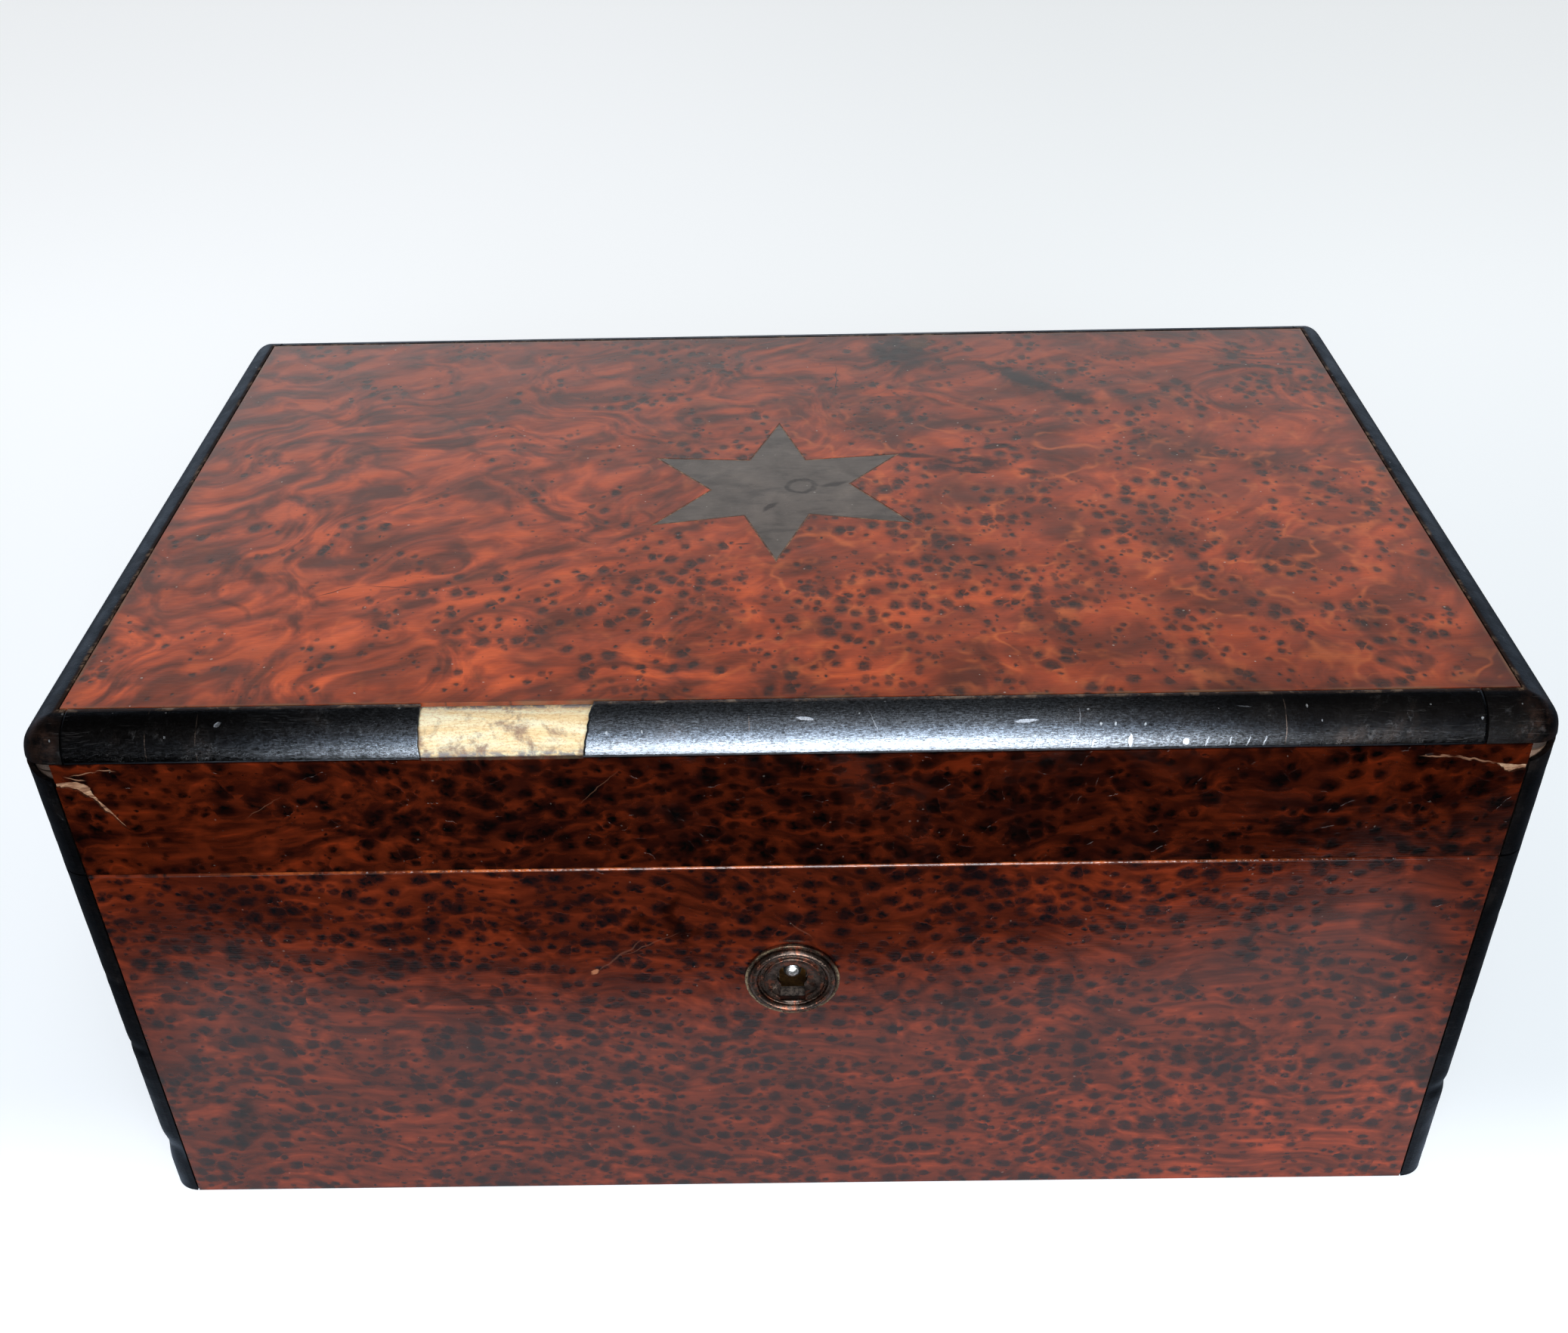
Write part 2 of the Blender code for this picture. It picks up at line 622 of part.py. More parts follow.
# ---------------------------------------------------------------- lid
def make_lid(bevel):
    rounded_top_board("lid_top_board", CEILING + FIT)
    walls = make_walls("lid_", LID_FOOT, CEILING)
    veneers = make_wall_veneers("lid_", LID_FOOT, EDGE_FOOT - FIT)
    strips = make_corner_strips("lid_", LID_FOOT, EDGE_FOOT - FIT, BROKEN_STRIP)
    for piece in (walls["back"], veneers["back"], strips["back", "left"],
                  strips["back", "right"]):
        cut(piece, bevel)

    top_x = HALF_WIDTH - EDGE_RADIUS - FIT
    top_y = HALF_DEPTH - EDGE_RADIUS - FIT
    top = block("top_veneer", (-top_x, top_x), (-top_y, top_y),
                (BOX_HEIGHT - VENEER, BOX_HEIGHT), "burr_veneer")
    cut(top, prism("star_bed_cutter", star_outline(FIT), "Z", BOX_HEIGHT - BOARD,
                   BOX_HEIGHT + BOARD))
    prism("star_inlay", star_outline(), "Z", BOX_HEIGHT - VENEER, BOX_HEIGHT, "star_veneer")
    make_edge_bands()

    lining_x = INNER_X - FIT
    lining_y = INNER_Y - FIT
    edge = LID_LINING_EDGE
    outline = [(-lining_x, CEILING), (edge - lining_x, CEILING - LID_LINING),
               (lining_x - edge, CEILING - LID_LINING), (lining_x, CEILING)]
    prism("lid_lining", outline, "Y", -lining_y, lining_y, "velvet")
    return walls, veneers


def make_edge_bands():
    """Black veneer on the four top edges. The side bands wrap the corners."""
    wrap_left = EDGE_RADIUS + BAND_WRAP - HALF_WIDTH
    wrap_right = HALF_WIDTH - EDGE_RADIUS - BAND_WRAP
    wrap_front_right = HALF_WIDTH - EDGE_RADIUS - BAND_WRAP_LONG
    for side, side_x, front_x, back_x in (
        ("left", -1, wrap_left, wrap_left), ("right", 1, wrap_front_right, wrap_right),
    ):
        walk = [
            face_station(front_x, -1), *corner_stations(side_x, -1, True),
            *corner_stations(side_x, 1, False), face_station(back_x, 1),
        ]
        edge_band(f"edge_band_{side}", [upright_row(station) for station in walk])
    edge_band("edge_band_front_left", [
        upright_row(face_station(wrap_left + FIT, -1)),
        upright_row(face_station(MISSING_START, -1)),
    ])
    edge_band("edge_band_front_right", [
        leaning_row(MISSING_END - MISSING_SLANT, MISSING_END, -1),
        upright_row(face_station(wrap_front_right - FIT, -1)),
    ])
    edge_band("edge_band_back", [
        upright_row(face_station(wrap_left + FIT, 1)),
        upright_row(face_station(wrap_right - FIT, 1)),
    ])


# ---------------------------------------------------------------- lock
def escutcheon_profile():
    """Lip, groove, round ring, two fine ridges and dished middle, as (radius, distance out)."""
    rim = ESCUTCHEON_RADIUS
    ring = rim - 0.0015
    ridge = rim - 0.0025
    fine_ridge = rim - 0.0035
    ring_height = 0.00055
    ring_size = 0.00075
    floor = 0.00035
    profile = [(rim, 0), (rim, 0.00045), (rim - 0.00012, 0.0006), (rim - 0.0003, 0.0006)]
    profile += arc(ring, ring_height, ring_size, 0, 180, 2 * ARC_STEPS)
    profile += arc(ridge, ring_height, 0.00015, 0, 180)
    profile += [(ridge - 0.0003, floor)]
    profile += arc(fine_ridge, floor, 0.00015, 0, 180)
    profile += [(KEYHOLE_RADIUS, 0.0003), (LOCK_PIN_RADIUS / 2, 0.0003)]
    return profile


def make_escutcheon():
    front = -HALF_DEPTH - FIT
    profile = [(radius, -distance) for radius, distance in escutcheon_profile()]
    escutcheon = turned("escutcheon", profile, (0, front, KEYHOLE_Z - ESCUTCHEON_DROP), "Y",
                        "dark_bronze")
    cut(escutcheon, prism("escutcheon_keyhole_cutter", keyhole_outline(), "Y",
                          front - BOARD, front + BOARD))


def countersink(name, place, thickness, outward):
    """A screw hole through a plate. place is on its outer face, outward is the way that faces."""
    profile = [
        (SCREW_RADIUS, -outward * 2 * thickness),
        (SCREW_RADIUS, -outward * (SCREW_HEAD_RADIUS - SCREW_RADIUS)),
        (SCREW_HEAD_RADIUS, 0), (SCREW_HEAD_RADIUS, outward * thickness),
    ]
    return turned(name, profile, place, "Z", "brass", HOLE_STEPS)


def plate_screw_places(height):
    """The two screws of the selvedge, and those of the lid plate above it."""
    across = LOCK_HALF + SELVEDGE_EAR / 2
    middle = (SELVEDGE_FRONT + LOCK_BACK) / 2
    return [(side_x * across, middle, height) for side_x in (-1, 1)]


def make_lock_case():
    """An open-fronted box with its selvedge, two studs that guide the bolt, and two slots."""
    foot = KEYHOLE_Z - LOCK_FOOT
    case = block("lock_case", (-LOCK_HALF, LOCK_HALF), (LOCK_FRONT, LOCK_BACK),
                 (foot, RIM - FIT), "brass")
    selvedge = block("selvedge_guide", (-SELVEDGE_HALF, SELVEDGE_HALF),
                     (SELVEDGE_FRONT, LOCK_BACK), (RIM - SELVEDGE, RIM))
    hollow = block("lock_hollow_cutter", (LOCK_WALL - LOCK_HALF, LOCK_HALF - LOCK_WALL),
                   (LOCK_FRONT - BOARD, LOCK_BACK - LOCK_WALL),
                   (foot + LOCK_WALL, RIM - SELVEDGE))
    join(case, selvedge)
    cut(case, hollow)
    slot_depth = STAPLE_HALF_DEPTH + STAPLE_PLAY
    slot_width = STAPLE_WIDTH / 2 + STAPLE_PLAY
    for side, side_x in (("left", -1), ("right", 1)):
        x = side_x * STAPLE_SPREAD
        cut(case, block(f"staple_slot_cutter_{side}", (x - slot_width, x + slot_width),
                        (BOLT_Y - slot_depth, BOLT_Y + slot_depth),
                        (RIM - 2 * SELVEDGE, RIM + BOARD)))
    for number, x in enumerate(guide_stud_places()):
        stud = rod(f"guide_stud_guide_{number}", GUIDE_STUD_RADIUS,
                   LOCK_FRONT + LOCK_WALL - LOCK_BACK, -LOCK_WALL / 2,
                   (x, LOCK_BACK, bolt_bar_middle()), "Y", "brass", HOLE_STEPS)
        join(case, stud)
    for number, place in enumerate(plate_screw_places(RIM)):
        cut(case, countersink(f"selvedge_screw_cutter_{number}", place, SELVEDGE, 1))
    pin_hole = rod("lock_pin_hole_cutter", LOCK_PIN_RADIUS + FIT, -BOARD, BOARD,
                   (0, LOCK_BACK, KEYHOLE_Z), "Y")
    cut(case, pin_hole)


def make_lock_pin():
    """The round pin that a piped key turns on, with a domed end in the keyhole."""
    length = HALF_DEPTH - LOCK_PIN_RECESS + LOCK_BACK
    dome = LOCK_PIN_RADIUS * 0.6
    profile = [(LOCK_PIN_RADIUS, 0), (LOCK_PIN_RADIUS, dome - length)]
    for step in range(1, ARC_STEPS):
        angle = math.pi / 2 * step / ARC_STEPS
        profile.append((LOCK_PIN_RADIUS * math.cos(angle),
                        dome - length - dome * math.sin(angle)))
    turned("lock_pin", profile, (0, LOCK_BACK, KEYHOLE_Z), "Y", "steel", SMALL_ROUND_STEPS)


def make_lock():
    make_escutcheon()
    make_lock_case()
    make_lock_pin()
    make_bolt()


def bolt_bar_top():
    return RIM - STAPLE_DROP - STAPLE_PLAY


def bolt_bar_middle():
    return bolt_bar_top() - BOLT_BAR / 2


def bolt_posts():
    """Right-hand side of each upright post of the bolt: a throw short of its staple."""
    return [side_x * STAPLE_SPREAD - POST_REACH for side_x in (-1, 1)]


def guide_stud_places():
    """The studs stand in slots of the bolt, so that it can only slide."""
    return (-STAPLE_SPREAD, STAPLE_SPREAD / 2)


def make_bolt():
    """A sliding plate: two hooks at the top, a guided bar and a tail that the key moves."""
    bar_top = bolt_bar_top()
    bar_foot = bar_top - BOLT_BAR
    tongue_top = RIM - STAPLE_EYE_TOP - FIT
    tongue_foot = RIM - STAPLE_EYE_FOOT + FIT
    left_post, right_post = bolt_posts()
    tail_foot = KEYHOLE_Z + BOLT_TAIL_REACH
    tail = BOLT_TAIL / 2
    talon = BOLT_TALON / 2
    outline = [(left_post - BOLT_POST, bar_foot), (-tail, bar_foot), (-tail, tail_foot),
               (-talon, tail_foot), (-talon, tail_foot + BOLT_TALON),
               (talon, tail_foot + BOLT_TALON), (talon, tail_foot), (tail, tail_foot),
               (tail, bar_foot), (right_post + BOLT_POST, bar_foot),
               (right_post + BOLT_POST, bar_top)]
    for post in (right_post, left_post):
        outline += [(post, bar_top), (post, tongue_foot), (post + BOLT_THROW, tongue_foot),
                    (post + BOLT_THROW, tongue_top), (post - BOLT_POST, tongue_top)]
        if post == right_post:
            outline.append((post - BOLT_POST, bar_top))
    bolt = prism("lock_bolt", outline, "Y", BOLT_Y - BOLT_THICKNESS / 2,
                 BOLT_Y + BOLT_THICKNESS / 2, "brass")
    for number, x in enumerate(guide_stud_places()):
        play = GUIDE_STUD_RADIUS + FIT
        slot = block(f"guide_slot_cutter_{number}", (x - play - BOLT_THROW, x + play),
                     (BOLT_Y - BOARD, BOLT_Y + BOARD),
                     (bolt_bar_middle() - play, bolt_bar_middle() + play))
        cut(bolt, slot)


def make_lid_plate(lid_front):
    """The plate in the rim of the lid, with two staples that drop into the lock."""
    plate = block("lid_plate", (-SELVEDGE_HALF, SELVEDGE_HALF), (SELVEDGE_FRONT, LOCK_BACK),
                  (LID_FOOT, LID_FOOT + SELVEDGE), "brass")
    for side, side_x in (("left", -1), ("right", 1)):
        x = side_x * STAPLE_SPREAD
        staple = block(f"staple_guide_{side}",
                       (x - STAPLE_WIDTH / 2, x + STAPLE_WIDTH / 2),
                       (BOLT_Y - STAPLE_HALF_DEPTH, BOLT_Y + STAPLE_HALF_DEPTH),
                       (RIM - STAPLE_DROP, LID_FOOT + SELVEDGE / 2), "brass")
        join(plate, staple)
        eye = BOLT_THICKNESS / 2 + FIT
        cut(plate, block(f"staple_eye_cutter_{side}", (x - BOARD / 2, x + BOARD / 2),
                         (BOLT_Y - eye, BOLT_Y + eye),
                         (RIM - STAPLE_EYE_FOOT, RIM - STAPLE_EYE_TOP)))
    for number, place in enumerate(plate_screw_places(LID_FOOT)):
        cut(plate, countersink(f"lid_plate_screw_cutter_{number}", place, SELVEDGE, -1))
    cut(lid_front, block("lid_plate_bed_cutter", (-SELVEDGE_HALF - FIT, SELVEDGE_HALF + FIT),
                         (SELVEDGE_FRONT - FIT, LOCK_BACK + BOARD),
                         (RIM - BOARD, LID_FOOT + SELVEDGE + FIT)))


# ---------------------------------------------------------------- hinges
def knuckle_spans(of_lid):
    """The stretches of the barrel that belong to one leaf, from the middle of the hinge."""
    pitch = HINGE_LENGTH / KNUCKLES
    spans = []
    for number in range(KNUCKLES):
        if (number % 2 == 1) == of_lid:
            start = -HINGE_LENGTH / 2 + number * pitch
            spans.append((start + FIT / 2, start + pitch - FIT / 2))
    return spans


def make_leaf(name, x, of_lid):
    """A hinge leaf let into a rim, with its knuckles and countersunk screw holes."""
    low, high = (LID_FOOT, LID_FOOT + LEAF) if of_lid else (RIM - LEAF, RIM)
    gap = HINGE_Y - BARREL_RADIUS - FIT
    leaf = block(name, (x - HINGE_LENGTH / 2, x + HINGE_LENGTH / 2),
                 (INNER_Y, gap), (low, high), "brass")
    for number, (start, end) in enumerate(knuckle_spans(of_lid)):
        bridge = block(f"{name}_bridge_guide_{number}", (x + start, x + end),
                       (gap - BARREL_RADIUS, HINGE_Y), (low, high), "brass")
        barrel = rod(f"{name}_barrel_guide_{number}", BARREL_RADIUS, start, end,
                     (x, HINGE_Y, HINGE_Z), "X", "brass")
        join(leaf, bridge, barrel)
    bore = rod(f"{name}_bore_cutter", HINGE_PIN_RADIUS + HINGE_PIN_PLAY, -HINGE_LENGTH,
               HINGE_LENGTH, (x, HINGE_Y, HINGE_Z), "X")
    cut(leaf, bore)
    face, outward = (low, -1) if of_lid else (high, 1)
    for number, side_x in enumerate((-1, 1)):
        place = (x + side_x * SCREW_SPACING / 2, (INNER_Y + gap) / 2, face)
        cut(leaf, countersink(f"{name}_screw_cutter_{number}", place, LEAF, outward))


def make_hinges(case_walls, case_veneers, lid_walls, lid_veneers):
    half = HINGE_LENGTH / 2 + FIT
    for side, x in hinge_places():
        make_leaf(f"hinge_leaf_case_{side}", x, False)
        make_leaf(f"hinge_leaf_lid_{side}", x, True)
        rod(f"hinge_pin_{side}", HINGE_PIN_RADIUS, -HINGE_LENGTH / 2, HINGE_LENGTH / 2,
            (x, HINGE_Y, HINGE_Z), "X", "steel")
        barrel_room = rod(f"barrel_room_cutter_{side}", BARREL_RADIUS + FIT, -half, half,
                          (x, HINGE_Y, HINGE_Z), "X")
        leaf_y = (INNER_Y - BOARD, HINGE_Y)
        case_bed = block(f"case_leaf_bed_cutter_{side}", (x - half, x + half), leaf_y,
                         (RIM - LEAF - FIT, RIM + BOARD))
        lid_bed = block(f"lid_leaf_bed_cutter_{side}", (x - half, x + half), leaf_y,
                        (RIM - BOARD, LID_FOOT + LEAF + FIT))
        cut(case_walls["back"], case_bed, barrel_room)
        cut(lid_walls["back"], lid_bed, barrel_room)
        cut(case_veneers["back"], barrel_room)
        cut(lid_veneers["back"], barrel_room)


# ---------------------------------------------------------------- build
def main():
    for leftover in list(bpy.data.objects):
        bpy.data.objects.remove(leftover, do_unlink=True)
    bevel = back_bevel()
    case_walls, case_veneers = make_case(bevel)
    make_interior()
    lid_walls, lid_veneers = make_lid(bevel)
    make_lock()
    make_lid_plate(lid_walls["front"])
    make_hinges(case_walls, case_veneers, lid_walls, lid_veneers)


main()
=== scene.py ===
# %% [markdown]
# # Finishing a veneered tea caddy
# The box itself, with every board, hinge and lock piece at its real size, comes as a fixed frame.
# This script is the polisher's bench: it gives each surface its wood, metal or cloth, adds the
# wear of two hundred years, and sets a camera and soft light. Lengths are metres, +Z is up and
# the front looks towards -Y. The frame comes first, since every place is read from it.

# %% Load the fixed frame
import json
import math
import random

import bmesh
import bpy
from mathutils import Matrix, Vector, noise

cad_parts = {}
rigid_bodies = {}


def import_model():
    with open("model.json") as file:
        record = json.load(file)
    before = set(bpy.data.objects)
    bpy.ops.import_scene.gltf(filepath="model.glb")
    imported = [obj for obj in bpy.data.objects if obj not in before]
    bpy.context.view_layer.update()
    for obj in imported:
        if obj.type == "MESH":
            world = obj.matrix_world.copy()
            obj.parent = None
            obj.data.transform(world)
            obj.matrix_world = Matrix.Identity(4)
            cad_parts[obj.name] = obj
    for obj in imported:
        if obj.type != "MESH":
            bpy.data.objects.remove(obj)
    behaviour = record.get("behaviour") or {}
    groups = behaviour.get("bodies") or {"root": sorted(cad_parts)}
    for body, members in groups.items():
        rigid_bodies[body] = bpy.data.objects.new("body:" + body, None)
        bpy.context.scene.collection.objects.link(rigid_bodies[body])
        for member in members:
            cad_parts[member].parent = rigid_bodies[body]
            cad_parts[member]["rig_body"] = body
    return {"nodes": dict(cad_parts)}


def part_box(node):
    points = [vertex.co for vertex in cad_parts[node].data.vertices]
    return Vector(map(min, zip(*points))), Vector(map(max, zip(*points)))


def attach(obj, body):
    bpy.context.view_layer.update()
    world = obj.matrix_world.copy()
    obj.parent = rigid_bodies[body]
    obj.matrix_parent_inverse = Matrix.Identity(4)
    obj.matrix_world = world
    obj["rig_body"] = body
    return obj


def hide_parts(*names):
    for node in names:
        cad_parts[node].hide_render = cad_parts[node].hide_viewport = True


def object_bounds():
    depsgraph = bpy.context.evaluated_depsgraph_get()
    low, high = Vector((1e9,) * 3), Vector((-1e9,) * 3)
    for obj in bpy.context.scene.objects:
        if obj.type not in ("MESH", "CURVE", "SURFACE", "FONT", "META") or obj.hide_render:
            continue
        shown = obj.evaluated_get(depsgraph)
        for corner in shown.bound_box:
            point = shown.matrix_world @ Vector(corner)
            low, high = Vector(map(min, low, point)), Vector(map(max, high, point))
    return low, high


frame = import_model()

cad_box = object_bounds()
cad_nodes = frame["nodes"]
MM = 1000       # millimetres in a metre
print("the box measures", [round(MM * side, 1) for side in cad_box[1] - cad_box[0]], "mm")

# %% Landmarks of the box
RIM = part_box("front_veneer")[1].z
LID_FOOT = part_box("lid_front_veneer")[0].z
LID_TOP = cad_box[1].z
HALF_WIDTH = cad_box[1].x
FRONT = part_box("front_veneer")[0].y
EDGE_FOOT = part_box("edge_band_back")[0].z
EDGE_RADIUS = LID_TOP - EDGE_FOOT
KEY_HEIGHT = 0.0601      # the keyhole and its pin
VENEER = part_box("front_veneer")[1].y - FRONT
TOP_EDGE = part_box("top_veneer")[1]
print("rim at", round(MM * RIM, 1), "and black edging of", round(MM * EDGE_RADIUS, 1), "mm")

# %% [markdown]
# ## Camera
# The box is seen from close by, a little above it and almost square on, so the top tapers
# strongly towards the back. A camera is aimed with three turns: about the upright axis, down
# from the horizon, and a slight lean. Turning matrices in that order are easier to follow than
# one set of Euler angles.

# %% Camera
CAMERA_PLACE = (0.0025, -0.28813, 0.27906)
CAMERA_SIDEWAYS = math.radians(0.74587)
CAMERA_DOWN = math.radians(35.53512)
CAMERA_LEAN = math.radians(-1.30605)
FOCAL_LENGTH, FRAME_WIDTH = 37.8, 36        # millimetres

camera = bpy.data.objects.new("camera", bpy.data.cameras.new("camera"))
bpy.context.scene.collection.objects.link(camera)
aim = Matrix.Rotation(CAMERA_SIDEWAYS, 4, "Z") @ Matrix.Rotation(math.pi / 2 - CAMERA_DOWN, 4, "X")
camera.matrix_world = Matrix.Translation(CAMERA_PLACE) @ aim @ Matrix.Rotation(CAMERA_LEAN, 4, "Z")
camera.data.lens = FOCAL_LENGTH
camera.data.sensor_width = FRAME_WIDTH
camera.data.clip_start = 0.01
bpy.context.scene.camera = camera
bpy.context.scene.view_settings.view_transform = "Standard"
print("camera", round((Vector(CAMERA_PLACE) - Vector((0, FRONT, RIM))).length, 3), "m from the rim")

# %% [markdown]
# ## A kit for node trees
# Every finish below is a tree of nodes: clouds of noise, rows of cells, colour ramps. Written out
# with Blender's own calls, each node takes four or five lines. A small class keeps a recipe
# readable: each method adds one node and gives back its output, so recipes nest like formulas.
# A value that is a socket gets linked, and any other value is set.


# %% The recipe class
class Recipe:
    """A node tree under way. Each method adds a node and gives back its output socket."""

    def __init__(self, tree):
        self.tree = tree

    def feed(self, socket, value):
        if isinstance(value, bpy.types.NodeSocket):
            self.tree.links.new(value, socket)
        elif socket.type == "RGBA":
            socket.default_value = (*value[:3], 1)
        else:
            socket.default_value = value

    def node(self, kind, inputs, **settings):
        made = self.tree.nodes.new(kind)
        for name, value in settings.items():
            setattr(made, name, value)
        for key, value in inputs.items():
            self.feed(made.inputs[key], value)
        return made

    def get(self, kind, inputs, output=0, **settings):
        return self.node(kind, inputs, **settings).outputs[output]

    def math(self, operation, first, second=0.0):
        return self.get("ShaderNodeMath", {0: first, 1: second}, operation=operation)

    def times(self, first, second):
        return self.math("MULTIPLY", first, second)

    def plus(self, first, second):
        return self.math("ADD", first, second)

    def minus(self, first, second):
        return self.math("SUBTRACT", first, second)

    def absolute(self, value):
        return self.math("ABSOLUTE", value)

    def vector(self, operation, first, second=(0, 0, 0)):
        return self.get("ShaderNodeVectorMath", {0: first, 1: second}, operation=operation)

    def stretched(self, where, factors):
        """The place times these factors. A pattern on it draws out where the factor is small."""
        return self.vector("MULTIPLY", where, factors)

    def length(self, first):
        return self.get("ShaderNodeVectorMath", {0: first}, "Value", operation="LENGTH")

    def parts(self, vector):
        return tuple(self.node("ShaderNodeSeparateXYZ", {0: vector}).outputs)

    def whole(self, x=0.0, y=0.0, z=0.0):
        return self.get("ShaderNodeCombineXYZ", {0: x, 1: y, 2: z})

    def step(self, value, low, high, to_low=0.0, to_high=1.0):
        """Goes smoothly from to_low to to_high while value goes from low to high."""
        inputs = {0: value, 1: low, 2: high, 3: to_low, 4: to_high}
        return self.get("ShaderNodeMapRange", inputs, interpolation_type="SMOOTHSTEP")

    def noise(self, where, size, detail=2.0, roughness=0.5, distortion=0.0):
        """Soft clouds from 0 to 1. size is the width of a cloud."""
        inputs = {"Vector": where, "Scale": 1 / size, "Detail": detail}
        inputs.update({"Roughness": roughness, "Distortion": distortion})
        return self.get("ShaderNodeTexNoise", inputs)

    def warped(self, where, size, reach):
        """The same place, pushed about by clouds of that size, by up to half of reach."""
        inputs = {"Vector": where, "Scale": 1 / size, "Detail": 1.0}
        push = self.vector("SUBTRACT", self.get("ShaderNodeTexNoise", inputs, 1), (0.5, 0.5, 0.5))
        push = self.stretched(push, (reach, reach, reach))
        return self.vector("ADD", where, push)

    def cells(self, where, size):
        """A jumble of cells on a plane, each size across."""
        inputs = {"Vector": where, "Scale": 1 / size}
        return self.node("ShaderNodeTexVoronoi", inputs, voronoi_dimensions="2D")

    def mix(self, share, first, second, blend="MIX"):
        inputs = {0: share, 6: first, 7: second}
        return self.get("ShaderNodeMix", inputs, 2, data_type="RGBA", blend_type=blend)

    def shaded(self, colour, light):
        """The colour times a brightness."""
        return self.mix(1.0, colour, self.whole(light, light, light), blend="MULTIPLY")

    def stained(self, colour, mask, share, tint):
        """The colour with a share of tint where the mask is 1."""
        return self.mix(self.times(mask, share), colour, tint)

    def ramp(self, value, stops):
        """A colour for each value. stops are (value, colour)."""
        made = self.node("ShaderNodeValToRGB", {0: value})
        band = made.color_ramp
        while len(band.elements) < len(stops):
            band.elements.new(0.5)
        for element, (place, colour) in zip(band.elements, stops):
            element.position = place
            element.color = (*colour, 1)
        return made.outputs[0]

    def patch(self, where, place, size, turn=0.0, soft=0.5):
        """1 in an oval with these half widths, 0 outside it. soft is the share that fades."""
        inputs = {"Vector": where, "Location": (*place, 0), "Rotation": (0, 0, math.radians(turn))}
        inputs["Scale"] = (*size, 1)
        near = self.get("ShaderNodeMapping", inputs, vector_type="TEXTURE")
        return self.step(self.length(near), 1, 1 - soft)

    def stroke(self, where, start, end, width, soft=0.6):
        """A thin oval from start to end."""
        run = Vector(end) - Vector(start)
        middle = (Vector(start) + Vector(end)) / 2
        turn = math.degrees(math.atan2(run.y, run.x))
        return self.patch(where, middle, (run.length / 2, width / 2), turn, soft)

    def most(self, first, *others):
        """The largest of several values."""
        for other in others:
            first = self.math("MAXIMUM", first, other)
        return first

    def patches(self, where, ovals):
        """1 in any of several ovals, each with its place, half widths, turn and soft share."""
        return self.most(0.0, *[self.patch(where, *oval) for oval in ovals])

    def strokes(self, where, lines):
        """1 on any of several strokes, each with its start, end and width."""
        return self.most(0.0, *[self.stroke(where, *line) for line in lines])


# %% [markdown]
# ## Light, floor and surroundings
# The caddy stands on a white sweep under even light. Its varnish mirrors what is around it, and
# that is half of its look: the top shows the pale wall behind, which greys it towards the back,
# the front shows the sheet that it stands on, and the rounded black edging picks up one low soft
# lamp in front. So the world is bright behind and overhead and dim in front, and gradients do
# that better than many lamps. The white that the camera sees costs the object no light, because
# it is given to camera rays only.

# %% World
world = bpy.data.worlds.new("studio")
bpy.context.scene.world = world
world.use_nodes = True
world.node_tree.nodes.clear()
air = Recipe(world.node_tree)
direction = air.get("ShaderNodeTexCoord", {}, "Generated")
sideways, backwards, upwards = air.parts(direction)
wall_behind = air.times(air.step(backwards, 0.05, 0.75), air.step(upwards, 0.66, 0.34))
glow = air.times(wall_behind, air.step(sideways, -0.3, 0.3, 1.0, 0.75))
overhead = air.times(air.step(upwards, 0.75, 0.97), air.step(sideways, -0.2, 0.05, 0.06, 0.6))
flanks = air.step(air.absolute(sideways), 0.45, 1.0, 0.0, 0.12)
glow = air.plus(air.plus(glow, overhead), air.plus(flanks, 0.16))
seen = air.get("ShaderNodeLightPath", {}, "Is Camera Ray")
soft_light = air.get("ShaderNodeBackground", {0: (0.93, 0.97, 1.0), 1: glow})
white = air.get("ShaderNodeBackground", {0: (1, 1, 1), 1: 1.0})
both = air.get("ShaderNodeMixShader", {0: seen, 1: soft_light, 2: white})
air.node("ShaderNodeOutputWorld", {"Surface": both})
print("the air is a tree of", len(air.tree.nodes), "nodes")


# %% Lamps
def soft_lamp(name, place, target, size, radiance, colour):
    """A rectangular lamp that faces its target. radiance is how bright its face looks."""
    data = bpy.data.lights.new(name, "AREA")
    data.shape = "RECTANGLE"
    data.size, data.size_y = size
    data.energy = radiance * math.pi * size[0] * size[1]
    data.color = colour
    lamp = bpy.data.objects.new(name, data)
    bpy.context.scene.collection.objects.link(lamp)
    facing = (Vector(target) - Vector(place)).to_track_quat("-Z", "Y")
    lamp.matrix_world = Matrix.Translation(place) @ facing.to_matrix().to_4x4()
    lamp.visible_camera = False
    return lamp


EDGING = Vector((0, FRONT, LID_TOP))


def lamp_place(distance, height_angle):
    """A point in front of the box, seen from the edging at this angle above the horizon."""
    turn = math.radians(height_angle)
    return EDGING + Vector((0.05, -distance * math.cos(turn), distance * math.sin(turn)))


soft_lamp("low_lamp", lamp_place(0.80, 3), EDGING, (0.38, 0.30), 9.0, (0.84, 0.93, 1))
soft_lamp("middle_lamp", lamp_place(0.85, 25), EDGING, (0.42, 0.32), 10.5, (0.76, 0.87, 1))
soft_lamp("high_lamp", lamp_place(0.95, 55), EDGING, (0.46, 0.62), 4.3, (0.90, 0.95, 1))
print("three lamps in front and a graded world")

# %% Floor
FLOOR_REACH = 6.0
SHEET_END = 0.066       # how far in front of the box the pale sheet still lights it

